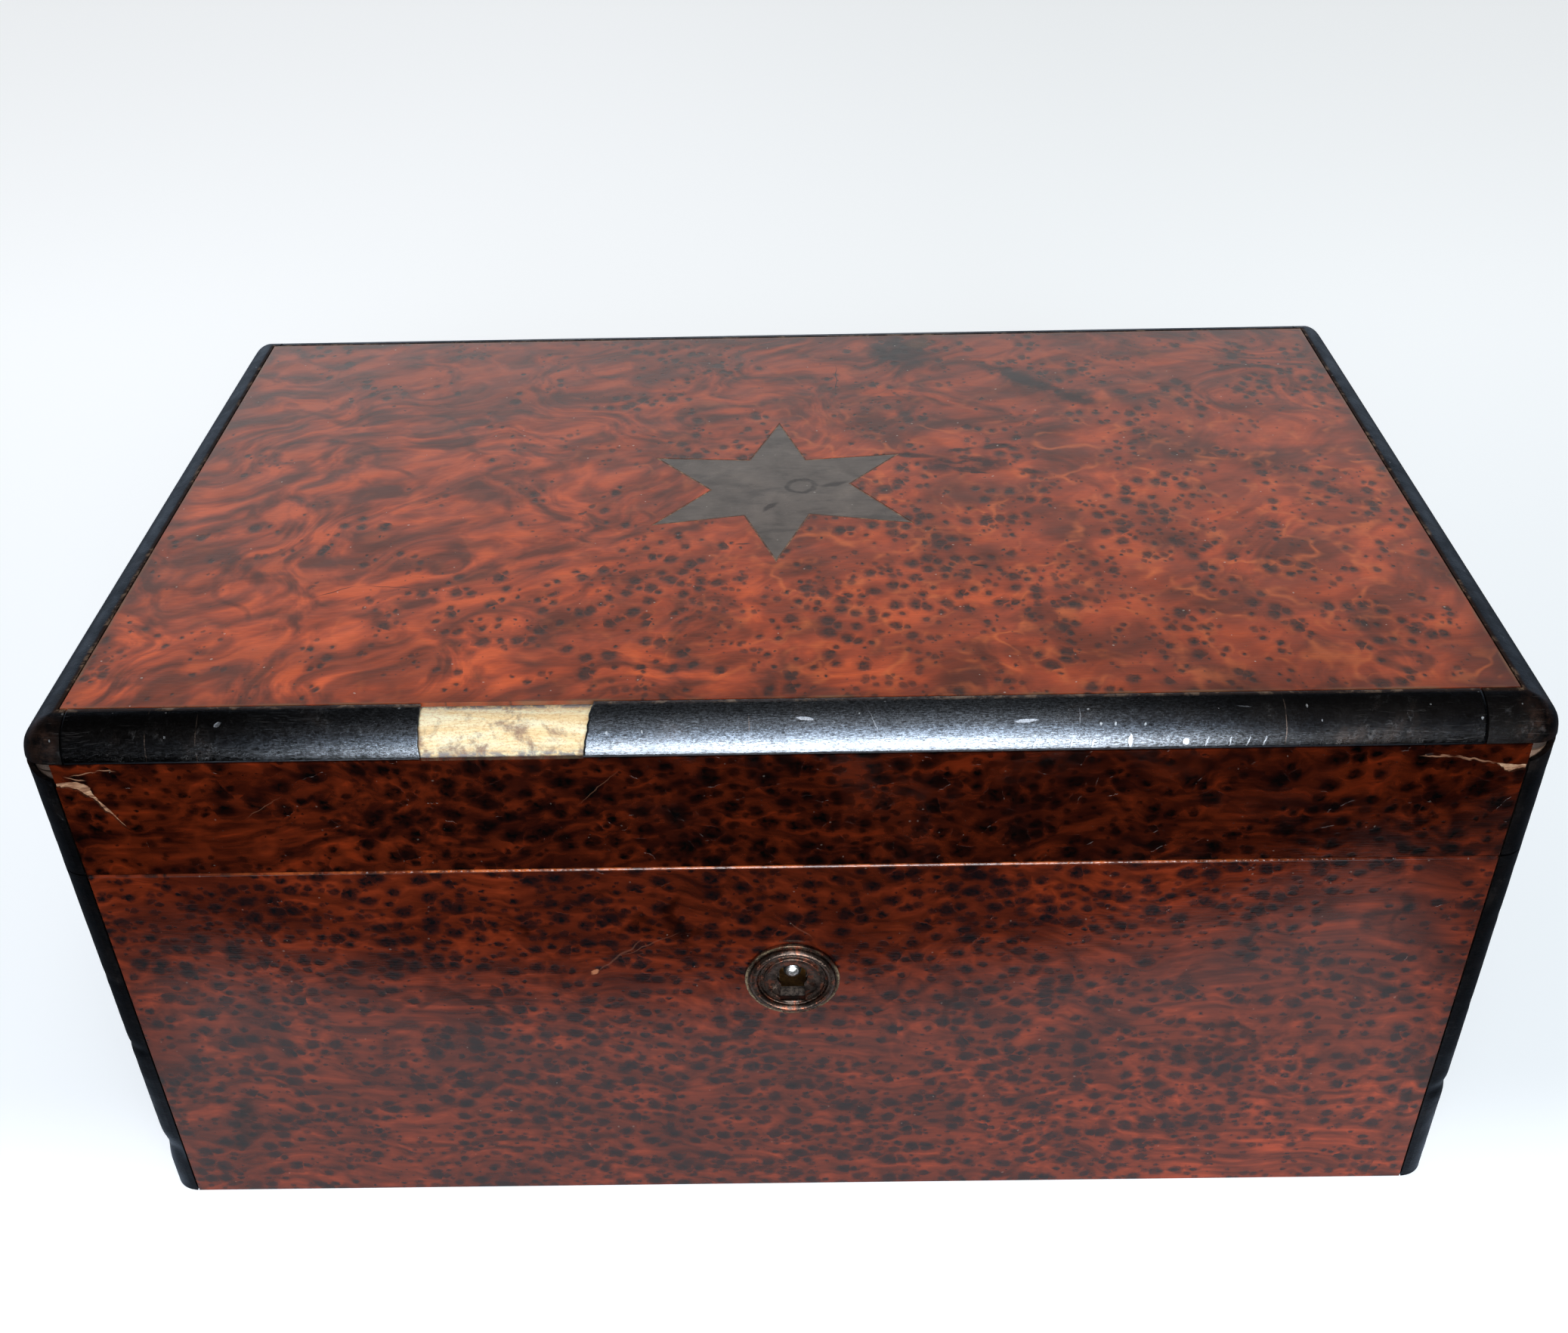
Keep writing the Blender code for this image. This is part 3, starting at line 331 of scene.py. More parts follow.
sheet = bmesh.new()
bmesh.ops.create_grid(sheet, x_segments=2, y_segments=2, size=FLOOR_REACH)
floor_mesh = bpy.data.meshes.new("floor")
sheet.to_mesh(floor_mesh)
sheet.free()
floor = bpy.data.objects.new("floor", floor_mesh)
bpy.context.scene.collection.objects.link(floor)

floor_finish = bpy.data.materials.new("white_sheet")
floor_finish.use_nodes = True
floor_finish.node_tree.nodes.clear()
paper = Recipe(floor_finish.node_tree)
spot = paper.node("ShaderNodeTexCoord", {}).outputs["Object"]
across, along = paper.parts(spot)[:2]
sides = paper.mix(paper.step(across, -0.2, 0.2), (0.93, 0.94, 0.95), (0.82, 0.845, 0.85))
path = paper.node("ShaderNodeLightPath", {}).outputs
seen = path["Is Camera Ray"]
aside = paper.plus(across, 0.03)
ahead = paper.minus(FRONT, along)
ahead = paper.minus(ahead, paper.times(paper.times(aside, aside), 1.3))
to_object = paper.step(ahead, SHEET_END, 0.5 * SHEET_END, 0.01, 0.85)
beside = paper.step(paper.absolute(across), HALF_WIDTH, HALF_WIDTH + 0.04, 1.0, 0.15)
to_object = paper.times(to_object, beside)
pale = paper.get("ShaderNodeBsdfDiffuse", {0: sides})
dim = paper.get("ShaderNodeBsdfDiffuse", {0: to_object})
lift = paper.step(along, -0.1, 0.4, 0.22, 0.45)
front_lift = paper.step(along, FRONT + 0.03, FRONT - 0.03, 0.0, 0.35)
white = paper.get("ShaderNodeEmission", {0: (1, 1, 1), 1: paper.plus(lift, front_lift)})
for_camera = paper.get("ShaderNodeAddShader", {0: pale, 1: white})
sunlit = paper.math("DIVIDE", across, paper.minus(0.2, along))
sunlit = paper.absolute(paper.minus(sunlit, 0.04))
sunlit = paper.times(paper.step(sunlit, 0.26, 0.08), paper.step(along, -0.25, -0.36))
sunlit = paper.times(sunlit, path["Is Glossy Ray"])
glare = paper.get("ShaderNodeEmission", {0: (0.93, 0.97, 1.0), 1: paper.times(sunlit, 26.0)})
others = paper.get("ShaderNodeAddShader", {0: dim, 1: glare})
both = paper.get("ShaderNodeMixShader", {0: seen, 1: others, 2: for_camera})
paper.node("ShaderNodeOutputMaterial", {"Surface": both})
floor_mesh.materials.append(floor_finish)
print("the floor reaches", FLOOR_REACH, "m each way")

# %% [markdown]
# ## Starting a finish
# A finish is a Principled material whose patterns are measured in millimetres on the piece
# itself, so a mark keeps its place when the lid swings open. Values that are the same all over,
# such as a sheen, are set on the shader and not linked, because exports drop links there.


# %% The finish class
class Finish(Recipe):
    """A material under way, with its place on the piece in millimetres."""

    def __init__(self, name, **constants):
        self.material = bpy.data.materials.new(name)
        self.material.use_nodes = True
        super().__init__(self.material.node_tree)
        self.shader = self.tree.nodes["Principled BSDF"]
        for key, value in constants.items():
            self.set(key.replace("_", " "), value)
        metres = self.node("ShaderNodeTexCoord", {}).outputs["Object"]
        self.place = self.stretched(metres, (MM, MM, MM))
        self.x, self.y, self.z = self.parts(self.place)

    def set(self, socket, value):
        self.feed(self.shader.inputs[socket], value)

    def darkened_oval(self, colour, place, size, share=1.0, tint=(0.016, 0.012, 0.010)):
        """Darkens an oval on the front, place and size in millimetres across and up."""
        spot = self.patch(self.warped(self.whole(self.x, self.z), 3, 1), place, size, soft=0.25)
        spot = self.times(spot, self.step(self.y, -60.0, -66.0, 0.0, share))
        return self.mix(spot, colour, tint)

    def relief(self, height, depth, under=None):
        """Shapes the surface. depth in metres is what height 1 stands above height 0."""
        inputs = {"Height": height, "Distance": depth, "Strength": 1.0}
        if under:
            inputs["Normal"] = under
        return self.get("ShaderNodeBump", inputs)


def dress(finish, *names):
    """Gives CAD nodes a finish, in the slots that they already have."""
    for name in names:
        for held in cad_nodes[name].material_slots:
            held.material = finish.material
    print(finish.material.name, "on", len(names), "pieces of the frame")


# %% [markdown]
# ## Burr veneer
# Burr is wood from a knotty outgrowth of the trunk: hundreds of buds that never grew show as
# dark eyes, often split into petals, and the grain streams round them in honey and red-brown
# waves. A picture of real veneer could be laid on, but a pattern built from noise never repeats
# and can be scaled for each face. Cells of a Voronoi texture are the buds, a slow noise decides
# where they crowd, and the same distances that draw the eyes bend the grain near them.


# %% The figure of the burr
def burr_figure(recipe, where, seed, eye, spacing, crowding, grain, wide, favour, flow, spread):
    """Tone, eyes, halos and wisps of burr wood, each 0 to 1. eye is the radius of an eye."""
    place = recipe.vector("ADD", where, (61.7 * seed, 29.3 * seed, 0))
    bent = recipe.warped(recipe.warped(place, 11, 2.4), 0.8 * eye, 0.7 * eye)
    cell = recipe.cells(recipe.stretched(bent, (1 / wide, 1, 1)), spacing)
    zones = recipe.noise(cell.outputs["Position"], 8 * spacing, detail=1)
    groups = recipe.noise(cell.outputs["Position"], 2.4 * spacing, detail=1)
    crowd = recipe.plus(recipe.mix(0.5, zones, groups), favour)
    luck = recipe.parts(cell.outputs["Color"])[0]
    size = recipe.times(recipe.step(crowd, crowding - 0.03, crowding + 0.06), eye)
    size = recipe.times(size, recipe.step(luck, 0.0, 1.0, 0.45, 1.15))
    reach = recipe.times(cell.outputs["Distance"], spacing)
    ratio = recipe.math("DIVIDE", reach, recipe.plus(size, 0.02))
    petals = recipe.noise(bent, 0.7 * eye, detail=1)
    eyes = recipe.times(recipe.step(ratio, 1.45, 0.5), recipe.step(petals, 0.3, 0.6, 1.0, 0.75))
    halos = recipe.step(ratio, 2.8, 0.8)

    swept = recipe.warped(recipe.warped(place, 40, 18), 13, 3.5)
    swept = recipe.vector("ADD", swept, recipe.whole(0.0, recipe.times(halos, 0.9 * eye)))
    laid = {"Vector": swept, "Rotation": (0, 0, math.radians(grain[2])), "Scale": (*grain[:2], 1)}
    laid = recipe.get("ShaderNodeMapping", laid, vector_type="TEXTURE")
    streaks = recipe.noise(laid, 1.0, detail=3, roughness=0.5)
    clouds = recipe.noise(swept, 15, detail=3, roughness=0.5)
    tone = recipe.step(recipe.mix(flow, clouds, streaks), 0.5 - spread, 0.5 + spread)
    ridge = recipe.noise(recipe.warped(swept, 5, 2), 5.5 * eye, detail=1)
    ridge = recipe.step(recipe.absolute(recipe.minus(ridge, 0.5)), 0.085, 0.0)
    glow = recipe.times(recipe.step(ratio, 1.3, 1.9), recipe.step(ratio, 3.6, 2.0))
    glow = recipe.most(ridge, recipe.times(glow, 0.5))
    wisps = recipe.times(glow, recipe.step(recipe.noise(place, 7, detail=3), 0.42, 0.66))
    wisps = recipe.times(wisps, recipe.step(flow, 1.0, 0.4, 0.2, 1.0))
    return tone, eyes, halos, wisps


# %% The finish of a burr face
LITTLE_EYES = 0.6       # how large the second generation of eyes is beside the first


def burr_veneer(name, across, up, seed, eye, spacing, crowding, tones, grain, wisp_colour, eye_colour,
                wisp, smoke, wide=1.3, spread=0.19, favour=None, flow=0.5):
    """Burr before its varnish. across and up are the axes of the face, tones its ramp of colours.

    favour adds to the crowding, and flow says how far the grain streams. Both may be functions.
    """
    finish = Finish(name, Roughness=0.15, IOR=1.5)
    axes = {"X": finish.x, "Y": finish.y, "Z": finish.z}
    where = finish.whole(axes[across], axes[up])
    more = favour(finish, where) if favour else 0.0
    streaky = flow(finish, where) if callable(flow) else flow
    growth = (grain, wide, more, streaky, spread)
    small = (LITTLE_EYES * eye, LITTLE_EYES * spacing, crowding + 0.04)
    tone, eyes, halos, wisps = burr_figure(finish, where, seed, eye, spacing, crowding, *growth)
    little = burr_figure(finish, where, seed + 3, *small, *growth)
    eyes = finish.most(eyes, finish.times(little[1], 0.75))
    halos = finish.most(halos, finish.times(little[2], 0.5))
    colour = finish.stained(finish.ramp(tone, tones), wisps, wisp, wisp_colour)
    dark = finish.noise(finish.warped(where, 20, 18), 24, detail=3)
    colour = finish.stained(colour, finish.step(dark, 0.48, 0.68), smoke, tones[0][1])
    colour = finish.stained(colour, halos, 0.3, tones[0][1])
    colour = finish.mix(eyes, colour, eye_colour)
    fibres = finish.noise(finish.stretched(where, (0.35, 3.0, 1)), 1.0, detail=4)
    colour = finish.shaded(colour, finish.step(fibres, 0.3, 0.7, 0.92, 1.07))
    finish.where, finish.eyes, finish.fibres = where, eyes, fibres
    return finish, colour


# %% Varnish
DUST_COLOUR = (0.72, 0.62, 0.52)


def varnish(finish, colour, haze=0.1, dust=0.4, worn=None):
    """Closes a wood finish: old varnish with smears, fine pores and a few specks of dust."""
    smears = finish.noise(finish.warped(finish.where, 30, 20), 18, detail=4, roughness=0.65)
    finish.set("Roughness", finish.step(smears, 0.35, 0.7, haze, haze + 0.1))
    grain = finish.plus(finish.fibres, finish.times(finish.eyes, -0.8))
    waves = finish.relief(finish.noise(finish.where, 14, detail=2), 0.00012)
    if worn:
        knocks = finish.times(finish.noise(finish.where, 0.9, detail=3), worn)
        waves = finish.relief(knocks, 0.00012, waves)
    finish.set("Normal", finish.relief(grain, 0.000012, waves))
    speck = finish.cells(finish.warped(finish.where, 2, 0.8), 2.6)
    rare = finish.parts(speck.outputs["Color"])[1]
    grains = finish.times(finish.step(rare, 0.93, 1.0), 0.07)
    specks = finish.step(finish.minus(grains, speck.outputs["Distance"]), -0.01, 0.01)
    specks = finish.times(specks, finish.step(rare, 0.95, 0.97))
    finish.set("Base Color", finish.stained(colour, specks, dust, DUST_COLOUR))
    print(finish.material.name, "is varnished, with", len(finish.tree.nodes), "nodes")


# %% [markdown]
# ## The top
# On the top the eyes are small and stand in groups, the honey veins are strongest, and two
# centuries of use have left rings, stains and a few hairline cracks. Marks are listed one by one:
# an oval patch or a stroke, each with its middle, half widths and turn, darkens the colour where
# it lies. Ragged edges come from pushing the place about with noise before measuring.

# %% Tones and crowds of the top
TOP_TONES = (
    (0.0, (0.118, 0.026, 0.013)), (0.35, (0.27, 0.046, 0.018)), (0.65, (0.41, 0.064, 0.022)),
    (1.0, (0.64, 0.102, 0.028)),
)


def top_crowds(finish, where):
    """Where buds crowd on the top: front right and middle right. Few stand at the left."""
    more = finish.patch(where, (45, -30), (85, 50), 15, 0.9)
    fewer = finish.patch(where, (-100, 10), (80, 90), 0, 0.9)
    return finish.minus(finish.times(more, 0.05), finish.times(fewer, 0.06))


def top_flow(finish, where):
    """The grain streams at the left of the top and at its back, and only clouds at the right."""
    across, deep = finish.parts(finish.warped(where, 50, 60))[:2]
    return finish.most(finish.step(across, -60.0, 40.0, 0.95, 0.35), finish.step(deep, 0.0, 45.0, 0.0, 0.8))


# %% Top veneer
top, colour = burr_veneer(
    "burr_top", "X", "Y", seed=1, eye=1.3, spacing=3.7, crowding=0.525, tones=TOP_TONES, grain=(24, 6, 24),
    wide=0.85, eye_colour=(0.042, 0.021, 0.017), wisp_colour=(0.78, 0.17, 0.045), wisp=0.6, smoke=0.45,
    favour=top_crowds, flow=top_flow,
)
lit = top.step(top.y, -15.0, 72.0, 1.0, 0.62)
lit = top.plus(lit, top.times(top.patch(top.where, (-75, -60), (75, 38), 0, 0.9), 0.17))
lit = top.minus(lit, top.times(top.patch(top.where, (100, -66), (60, 30), 0, 0.9), 0.28))
colour = top.shaded(colour, lit)
ragged = top.warped(top.warped(top.where, 6, 3.5), 1.5, 0.8)

SHADOWS = (
    ((-85, 30), (45, 55), 0, 0.8), ((-100, -30), (22, 30), 0, 0.8), ((105, 50), (30, 40), 0, 0.8),
    ((100, -62), (45, 16), 0, 0.8),
)
shadows = top.patches(top.warped(top.where, 25, 30), SHADOWS)
dim = top.times(shadows, top.noise(top.stretched(ragged, (0.06, 0.2, 1)), 1.0, 4))
colour = top.mix(top.step(dim, 0.15, 0.7, 0.0, 0.62), colour, (0.035, 0.012, 0.008))
print("the top is dark in", len(SHADOWS), "places")

# %% Stains and marks of the top
STAINS = (
    ((26, 62), (11.5, 13.5), 10, 0.65), ((52, 47), (20, 3.6), -43, 0.6), ((63, 37), (8, 4.2), -40, 0.6),
    ((43.5, 15.3), (4.2, 1.7), 0, 0.5), ((49, 4.5), (4.5, 1.6), -30, 0.6),
)
DRIPS = (((31, 13.4), (41, 15.4), 1.9), ((33, 5.5), (43, 4.2), 1.7))
CRACKS = (((-86, -38.6), (-78, -34), 0.35), ((-79, -34), (-66, -36), 0.3), ((11.4, 57), (11.0, 39), 0.35))
CUTS = (((33.7, -30.4), (37.1, -31.2), 0.9), ((-10.2, -22), (-6.2, -21.9), 0.55))

smear = top.stroke(top.warped(top.where, 4, 1.3), (19.5, 12.9), (33, 10.8), 2.4)
stains = top.most(top.patches(ragged, STAINS), top.strokes(ragged, DRIPS), smear)
colour = top.stained(colour, stains, 0.85, (0.012, 0.008, 0.007))
under_pot = top.patch(ragged, (31, 67), (4.5, 5.5), 0, 0.6)
colour = top.stained(colour, under_pot, 0.75, (0.11, 0.045, 0.020))
spilt = top.patch(top.warped(top.where, 9, 5), (35, 9.5), (16, 8.5), 0, 0.7)
colour = top.stained(colour, spilt, 0.6, (0.12, 0.020, 0.012))
wine_mark = top.patch(ragged, (36, 8), (13, 5), 0, 0.6)
wine_mark = top.times(wine_mark, top.step(top.noise(ragged, 3.2, 3), 0.32, 0.5, 0.35, 1.0))
colour = top.stained(colour, wine_mark, 0.9, (0.030, 0.006, 0.005))
cracks = top.most(top.strokes(top.warped(top.where, 5, 1.6), CRACKS), top.strokes(top.where, CUTS))
colour = top.stained(colour, cracks, 0.85, (0.010, 0.006, 0.005))

to_side = top.minus(MM * TOP_EDGE.x, top.absolute(top.x))
to_edge = top.math("MINIMUM", to_side, top.minus(MM * TOP_EDGE.y, top.absolute(top.y)))
worn = top.times(top.step(to_edge, 0.7, 0.0), top.step(top.noise(top.where, 9, 4), 0.4, 0.65))
colour = top.mix(worn, colour, (0.30, 0.13, 0.06))
colour = top.mix(top.step(to_edge, 5.0, 0.0, 0.0, 0.45), colour, (0.05, 0.014, 0.008))
varnish(top, colour, haze=0.12)
dress(top, "top_veneer")

# %% [markdown]
# ## The front, the ends and the back
# The front of the case has larger eyes, crowded high up on the left and thinning downwards, over
# horizontal grain. The lid front is cut from a darker leaf, almost black with eyes in the
# middle. The same recipe makes all of them; only its numbers change.

# %% Tones and crowds of the walls
CASE_TONES = (
    (0.0, (0.030, 0.005, 0.003)), (0.35, (0.085, 0.012, 0.004)), (0.7, (0.15, 0.020, 0.006)),
    (1.0, (0.25, 0.033, 0.009)),
)
LID_TONES = (
    (0.0, (0.006, 0.0012, 0.001)), (0.4, (0.034, 0.0045, 0.0015)), (0.75, (0.080, 0.010, 0.0025)),
    (1.0, (0.17, 0.019, 0.004)),
)
CASE_BURR = {
    "eye": 1.12, "spacing": 3.5, "tones": CASE_TONES, "wisp_colour": (0.34, 0.045, 0.012), "wisp": 0.35,
    "smoke": 0.55, "spread": 0.24,
}


def case_crowds(finish, where):
    """The case front has big clusters high up and an even scatter lower down."""
    high = finish.patches(where, (((-60, 72), (75, 16), -4, 0.7), ((40, 78), (70, 12), 0, 0.8)))
    low = finish.patch(where, (0, 20), (130, 45), 0, 0.5)
    return finish.plus(finish.times(high, 0.09), finish.times(low, 0.05))


def lid_crowds(finish, where):
    """The lid front has its clusters in the middle."""
    more = finish.patch(where, (5, 98), (75, 18), 0, 0.7)
    fewer = finish.patch(where, (-110, 98), (35, 40), 0, 0.7)
    return finish.minus(finish.times(more, 0.07), finish.times(fewer, 0.02))


# %% Case front
case_front, colour = burr_veneer(
    "burr_case_front", "X", "Z", seed=5, crowding=0.455, grain=(20, 2.2, -4),
    eye_colour=(0.004, 0.004, 0.005), favour=case_crowds, flow=0.8, **CASE_BURR,
)
# Painted light and shade: lighter low at the right, darker towards the top, a painted dim patch high in the
# middle and a painted lighter patch high at the right.
lit = case_front.step(case_front.patch(case_front.where, (95, 8), (110, 60), 0, 0.95), 0.0, 1.0, 1.0, 1.4)
lit = case_front.times(lit, case_front.step(case_front.z, 40.0, 84.0, 1.0, 0.76))
dull = case_front.patch(case_front.where, (5, 84), (60, 30), 0, 0.9)
lit = case_front.minus(lit, case_front.times(dull, 0.25))
glow = case_front.patch(case_front.where, (58, 78), (48, 14), 0, 0.9)
lit = case_front.plus(lit, case_front.times(glow, 0.3))
colour = case_front.shaded(colour, lit)

CLOUDS = (
    ((96, 70), (30, 15), 10, 0.9), ((34, 53), (30, 9), -5, 0.9), ((122, 35), (11, 55), 0, 0.9),
    ((-60, 56), (32, 13), 8, 0.9), ((-113, 22), (20, 18), 0, 0.9), ((-28, 76), (40, 10), 0, 0.9),
    ((-5, 32), (30, 9), 0, 0.9), ((80, 40), (18, 8), 12, 0.9),
)
drifting = case_front.warped(case_front.warped(case_front.where, 24, 16), 7, 5)
mottled = case_front.step(case_front.noise(drifting, 14, 5, 0.65), 0.33, 0.62, 0.35, 1.0)
clouds = case_front.times(case_front.patches(drifting, CLOUDS), mottled)
colour = case_front.shaded(colour, case_front.step(clouds, 0.0, 0.7, 1.0, 0.36))
print("eyes of", CASE_BURR["eye"], "mm in", len(CLOUDS), "smoky clouds")

# %% Knocks and worn arris of the case front
KNOCKS = (((-37, 60), (-24.5, 70.8), 0.5), ((-1, 74), (4, 68.4), 0.35), ((-33, 64), (-18, 72), 0.3))
knocks = case_front.strokes(case_front.warped(case_front.where, 4, 1.5), KNOCKS)
colour = case_front.stained(colour, knocks, 0.3, (0.20, 0.08, 0.05))
chip = case_front.patch(case_front.warped(case_front.where, 1, 1.2), (-35.8, 61.1), (0.9, 0.55), 35, 0.5)
colour = case_front.mix(chip, colour, (0.36, 0.13, 0.06))
arris = case_front.step(case_front.z, MM * RIM - 0.5, MM * RIM - 0.15)
patchy = case_front.step(case_front.noise(case_front.where, 3.5, 4, 0.7), 0.38, 0.62, 0.1, 1.0)
patchy = case_front.times(patchy, case_front.patch(case_front.where, (-5, 86), (112, 30), 0, 0.6))
colour = case_front.mix(case_front.times(arris, patchy), colour, (0.55, 0.12, 0.025))
# darker round the keyhole
colour = case_front.darkened_oval(colour, (0, MM * KEY_HEIGHT), (8.2, 8.4))
varnish(case_front, colour, haze=0.055, dust=0.1, worn=arris)

# %% Lid front
lid_front, colour = burr_veneer(
    "burr_lid_front", "X", "Z", seed=8, eye=1.42, spacing=4.1, crowding=0.45, tones=LID_TONES,
    grain=(20, 2.4, 4), wide=1.15, wisp_colour=(0.30, 0.038, 0.008), wisp=0.4, smoke=0.35, spread=0.27,
    eye_colour=(0.001, 0.0008, 0.0008), favour=lid_crowds, flow=0.8,
)
colour = lid_front.shaded(colour, lid_front.step(lid_front.x, -70.0, 0.0, 1.0, 0.68))
SPLITS = (
    ((103, 108.7), (109.5, 108.5), 0.4), ((108.5, 108.6), (117, 106.7), 0.45),
    ((-120.1, 108.3), (-116, 107.2), 0.35), ((-119, 108.3), (-113.6, 109.3), 0.3),
    ((-114.5, 109.4), (-110.5, 109.5), 0.3),
)
SCRAPES = (((-92, 98.5), (-84, 104), 0.25), ((-36, 100), (-27, 109), 0.25))
bent = lid_front.warped(lid_front.where, 1.6, 0.7)
colour = lid_front.stained(colour, lid_front.strokes(bent, SPLITS), 0.8, (0.26, 0.13, 0.075))
colour = lid_front.stained(colour, lid_front.strokes(bent, SCRAPES), 0.35, (0.16, 0.07, 0.04))
varnish(lid_front, colour, haze=0.05, dust=0.07)

# %% Ends and back
WALLS = {
    "ends": ("Y", 12, 0.47, 3, 0.12, ("left_veneer", "right_veneer", "lid_left_veneer", "lid_right_veneer")),
    "back": ("X", 17, 0.48, 2, 0.14, ("back_veneer", "lid_back_veneer")),
}
for wall, (across, seed, crowding, slope, haze, faces) in WALLS.items():
    finish, colour = burr_veneer(
        "burr_" + wall, across, "Z", seed=seed, crowding=crowding, grain=(18, 2.4, slope),
        eye_colour=(0.006, 0.005, 0.005), flow=0.7, **CASE_BURR,
    )
    varnish(finish, colour, haze=haze, dust=0.2)
    dress(finish, *faces)

# %% [markdown]
# ## The star
# A six-pointed star of dark, dense wood is let into the top. It has almost no figure, so what
# gives it life is the straight fine grain, a cup ring and dry streaks in its varnish.

# %% Star
STAR_TONES = ((0.32, (0.082, 0.063, 0.052)), (0.5, (0.135, 0.104, 0.086)), (0.68, (0.195, 0.150, 0.122)))
STAR_STREAKS = (((-1.5, -6), (-5, -10.5), 1.6), ((5.5, -0.6), (13.5, 1.6), 2.4))
CUP_RING = {"Location": (3, -0.1, 0), "Scale": (3.3, 3.0, 1)}

star = Finish("dark_star", Roughness=0.24, IOR=1.5)
star.where = star.whole(star.x, star.y)
star.fibres = star.noise(star.stretched(star.where, (0.25, 3.2, 1)), 1.0, detail=5)
star.eyes = 0.0
cloudy = star.noise(star.warped(star.where, 12, 8), 9, 5, 0.65)
colour = star.ramp(star.mix(0.75, star.fibres, cloudy), STAR_TONES)
smudge = star.noise(star.warped(star.stretched(star.where, (0.5, 1.6, 1)), 9, 8), 8, 4, 0.7)
colour = star.mix(star.step(smudge, 0.48, 0.66, 0.0, 0.5), colour, (0.035, 0.027, 0.024))
CUP_RING["Vector"] = star.warped(star.warped(star.where, 3, 1.2), 0.9, 0.4)
ring_place = star.get("ShaderNodeMapping", CUP_RING, vector_type="TEXTURE")
ring = star.absolute(star.minus(star.length(ring_place), 0.85))
broken = star.step(star.noise(star.where, 2.5, 3), 0.3, 0.55, 0.45, 1.0)
ring = star.times(star.step(ring, 0.24, 0.05), broken)
streaks = star.strokes(star.warped(star.where, 3, 1.5), STAR_STREAKS)
colour = star.stained(colour, star.most(ring, streaks), 0.75, (0.020, 0.012, 0.010))
varnish(star, colour, haze=0.2, dust=0.25)
dress(star, "star_inlay")

# %% [markdown]
# ## Black veneer
# The corners and the top edges are covered with pear wood dyed black. Handling has scratched
# it, opened fine cracks across it where the pieces were jointed, and rubbed the arrises down to
# brown wood. Scratches are noise squeezed so hard along one slanted direction that it breaks
# into hairs. Where the shellac is worn the veneer is dull, and its shine is kept most low down in
# the middle of the front edging, a painted reflection of the lamps there. Metallic over a nearly
# black colour only takes shine away, and exports keep it, while they drop a specular level from nodes.


# %% Scratches, rubbed corners and open joints
def hair_scratches(finish, along, around):
    """Fine scratches in three slanted directions, in some places only."""
    hairs = 0.0
    for turn, squeeze in ((0.25, 0.10), (-0.5, 0.16), (1.35, 0.2)):
        laid = {"Vector": finish.whole(along, around, turn), "Rotation": (0, 0, turn)}
        laid["Scale"] = (squeeze, 2.6, 1)
        laid = finish.get("ShaderNodeMapping", laid)
        hair = finish.step(finish.noise(laid, 1.0, detail=4, roughness=0.75), 0.62, 0.69)
        hairs = finish.most(hair, hairs)
    return finish.times(hairs, finish.step(finish.noise(finish.place, 16, 2), 0.45, 0.65))


def rubbed_corners(finish):
    """The corners of the lid, where hands lift it."""
    corner = finish.whole(finish.absolute(finish.x), finish.y)
    rubbed = finish.patch(finish.warped(corner, 4, 3), (125, -75), (8, 7), soft=0.8)
    rubbed = finish.times(rubbed, finish.step(finish.noise(finish.place, 2.5, 4, 0.7), 0.4, 0.65))
    return finish.times(rubbed, finish.step(finish.z, 107.0, 112.0, 0.1, 0.7))


def open_joints(finish, joints):
    """Hairlines across the edging at these places along it."""
    open_joint = 0.0
    for at in joints:
        gap = finish.absolute(finish.minus(finish.parts(finish.warped(finish.place, 5, 0.5))[0], at))
        open_joint = finish.most(finish.step(gap, 0.10, 0.03), open_joint)
    return finish.times(open_joint, finish.step(finish.noise(finish.place, 2.2, 3), 0.4, 0.6))


# %% Border, flecks and lost polish
def worn_border(finish):
    """The strip along the top veneer, where the arris is rubbed."""
    sides = ((finish.x, TOP_EDGE.x), (finish.y, TOP_EDGE.y))
    outward = [finish.minus(finish.absolute(side), MM * edge) for side, edge in sides]
    border = finish.step(finish.math("MAXIMUM", *outward), 1.3, 0.5)
    return finish.times(border, finish.step(finish.z, MM * LID_TOP - 1.6, MM * LID_TOP - 0.8))


def pale_flecks(finish):
    """Small round dents in a few of the cells of a jumbled grid."""
    fleck = finish.cells(finish.warped(finish.place, 2, 1), 2.0)
    rare = finish.parts(fleck.outputs["Color"])[1]
    flecks = finish.minus(finish.step(rare, 0.88, 1.0, 0.0, 0.1), fleck.outputs["Distance"])
    return finish.times(finish.step(flecks, -0.01, 0.01), finish.step(rare, 0.88, 0.9))


def worn_and_painted_sheen(finish, unrolled, height):
    """How much shine is kept, in fine streaks where the shellac is rubbed; most low down in the middle of
    the edging, a painted reflection of the lamps there.
    """
    uneven = finish.plus(height, finish.times(finish.noise(unrolled, 1.2, 4, 0.8), 4.0))
    # painted reflection: more shine low down and near the middle of the edging
    painted_sheen = finish.step(uneven, MM * LID_TOP - 3.2, MM * LID_TOP + 0.6, 1.0, 0.4)
    aside = finish.absolute(finish.minus(finish.x, -8.0))
    painted_sheen = finish.times(painted_sheen, finish.step(aside, 32.0, 100.0, 1.0, 0.15))
    streaks = finish.noise(finish.stretched(unrolled, (0.7, 5.0, 1.0)), 1.0, detail=5, roughness=0.85)
    specks = finish.noise(unrolled, 0.55, detail=4, roughness=0.85)
    streaks = finish.step(streaks, 0.36, 0.62, 0.2, 1.2)
    return finish.times(painted_sheen, finish.plus(streaks, finish.step(specks, 0.45, 0.6, 0.0, 0.6)))


# %% Black veneer
DYE_TONES = ((0.3, (0.003, 0.0025, 0.0025)), (0.6, (0.006, 0.005, 0.0045)), (0.8, (0.024, 0.017, 0.014)))


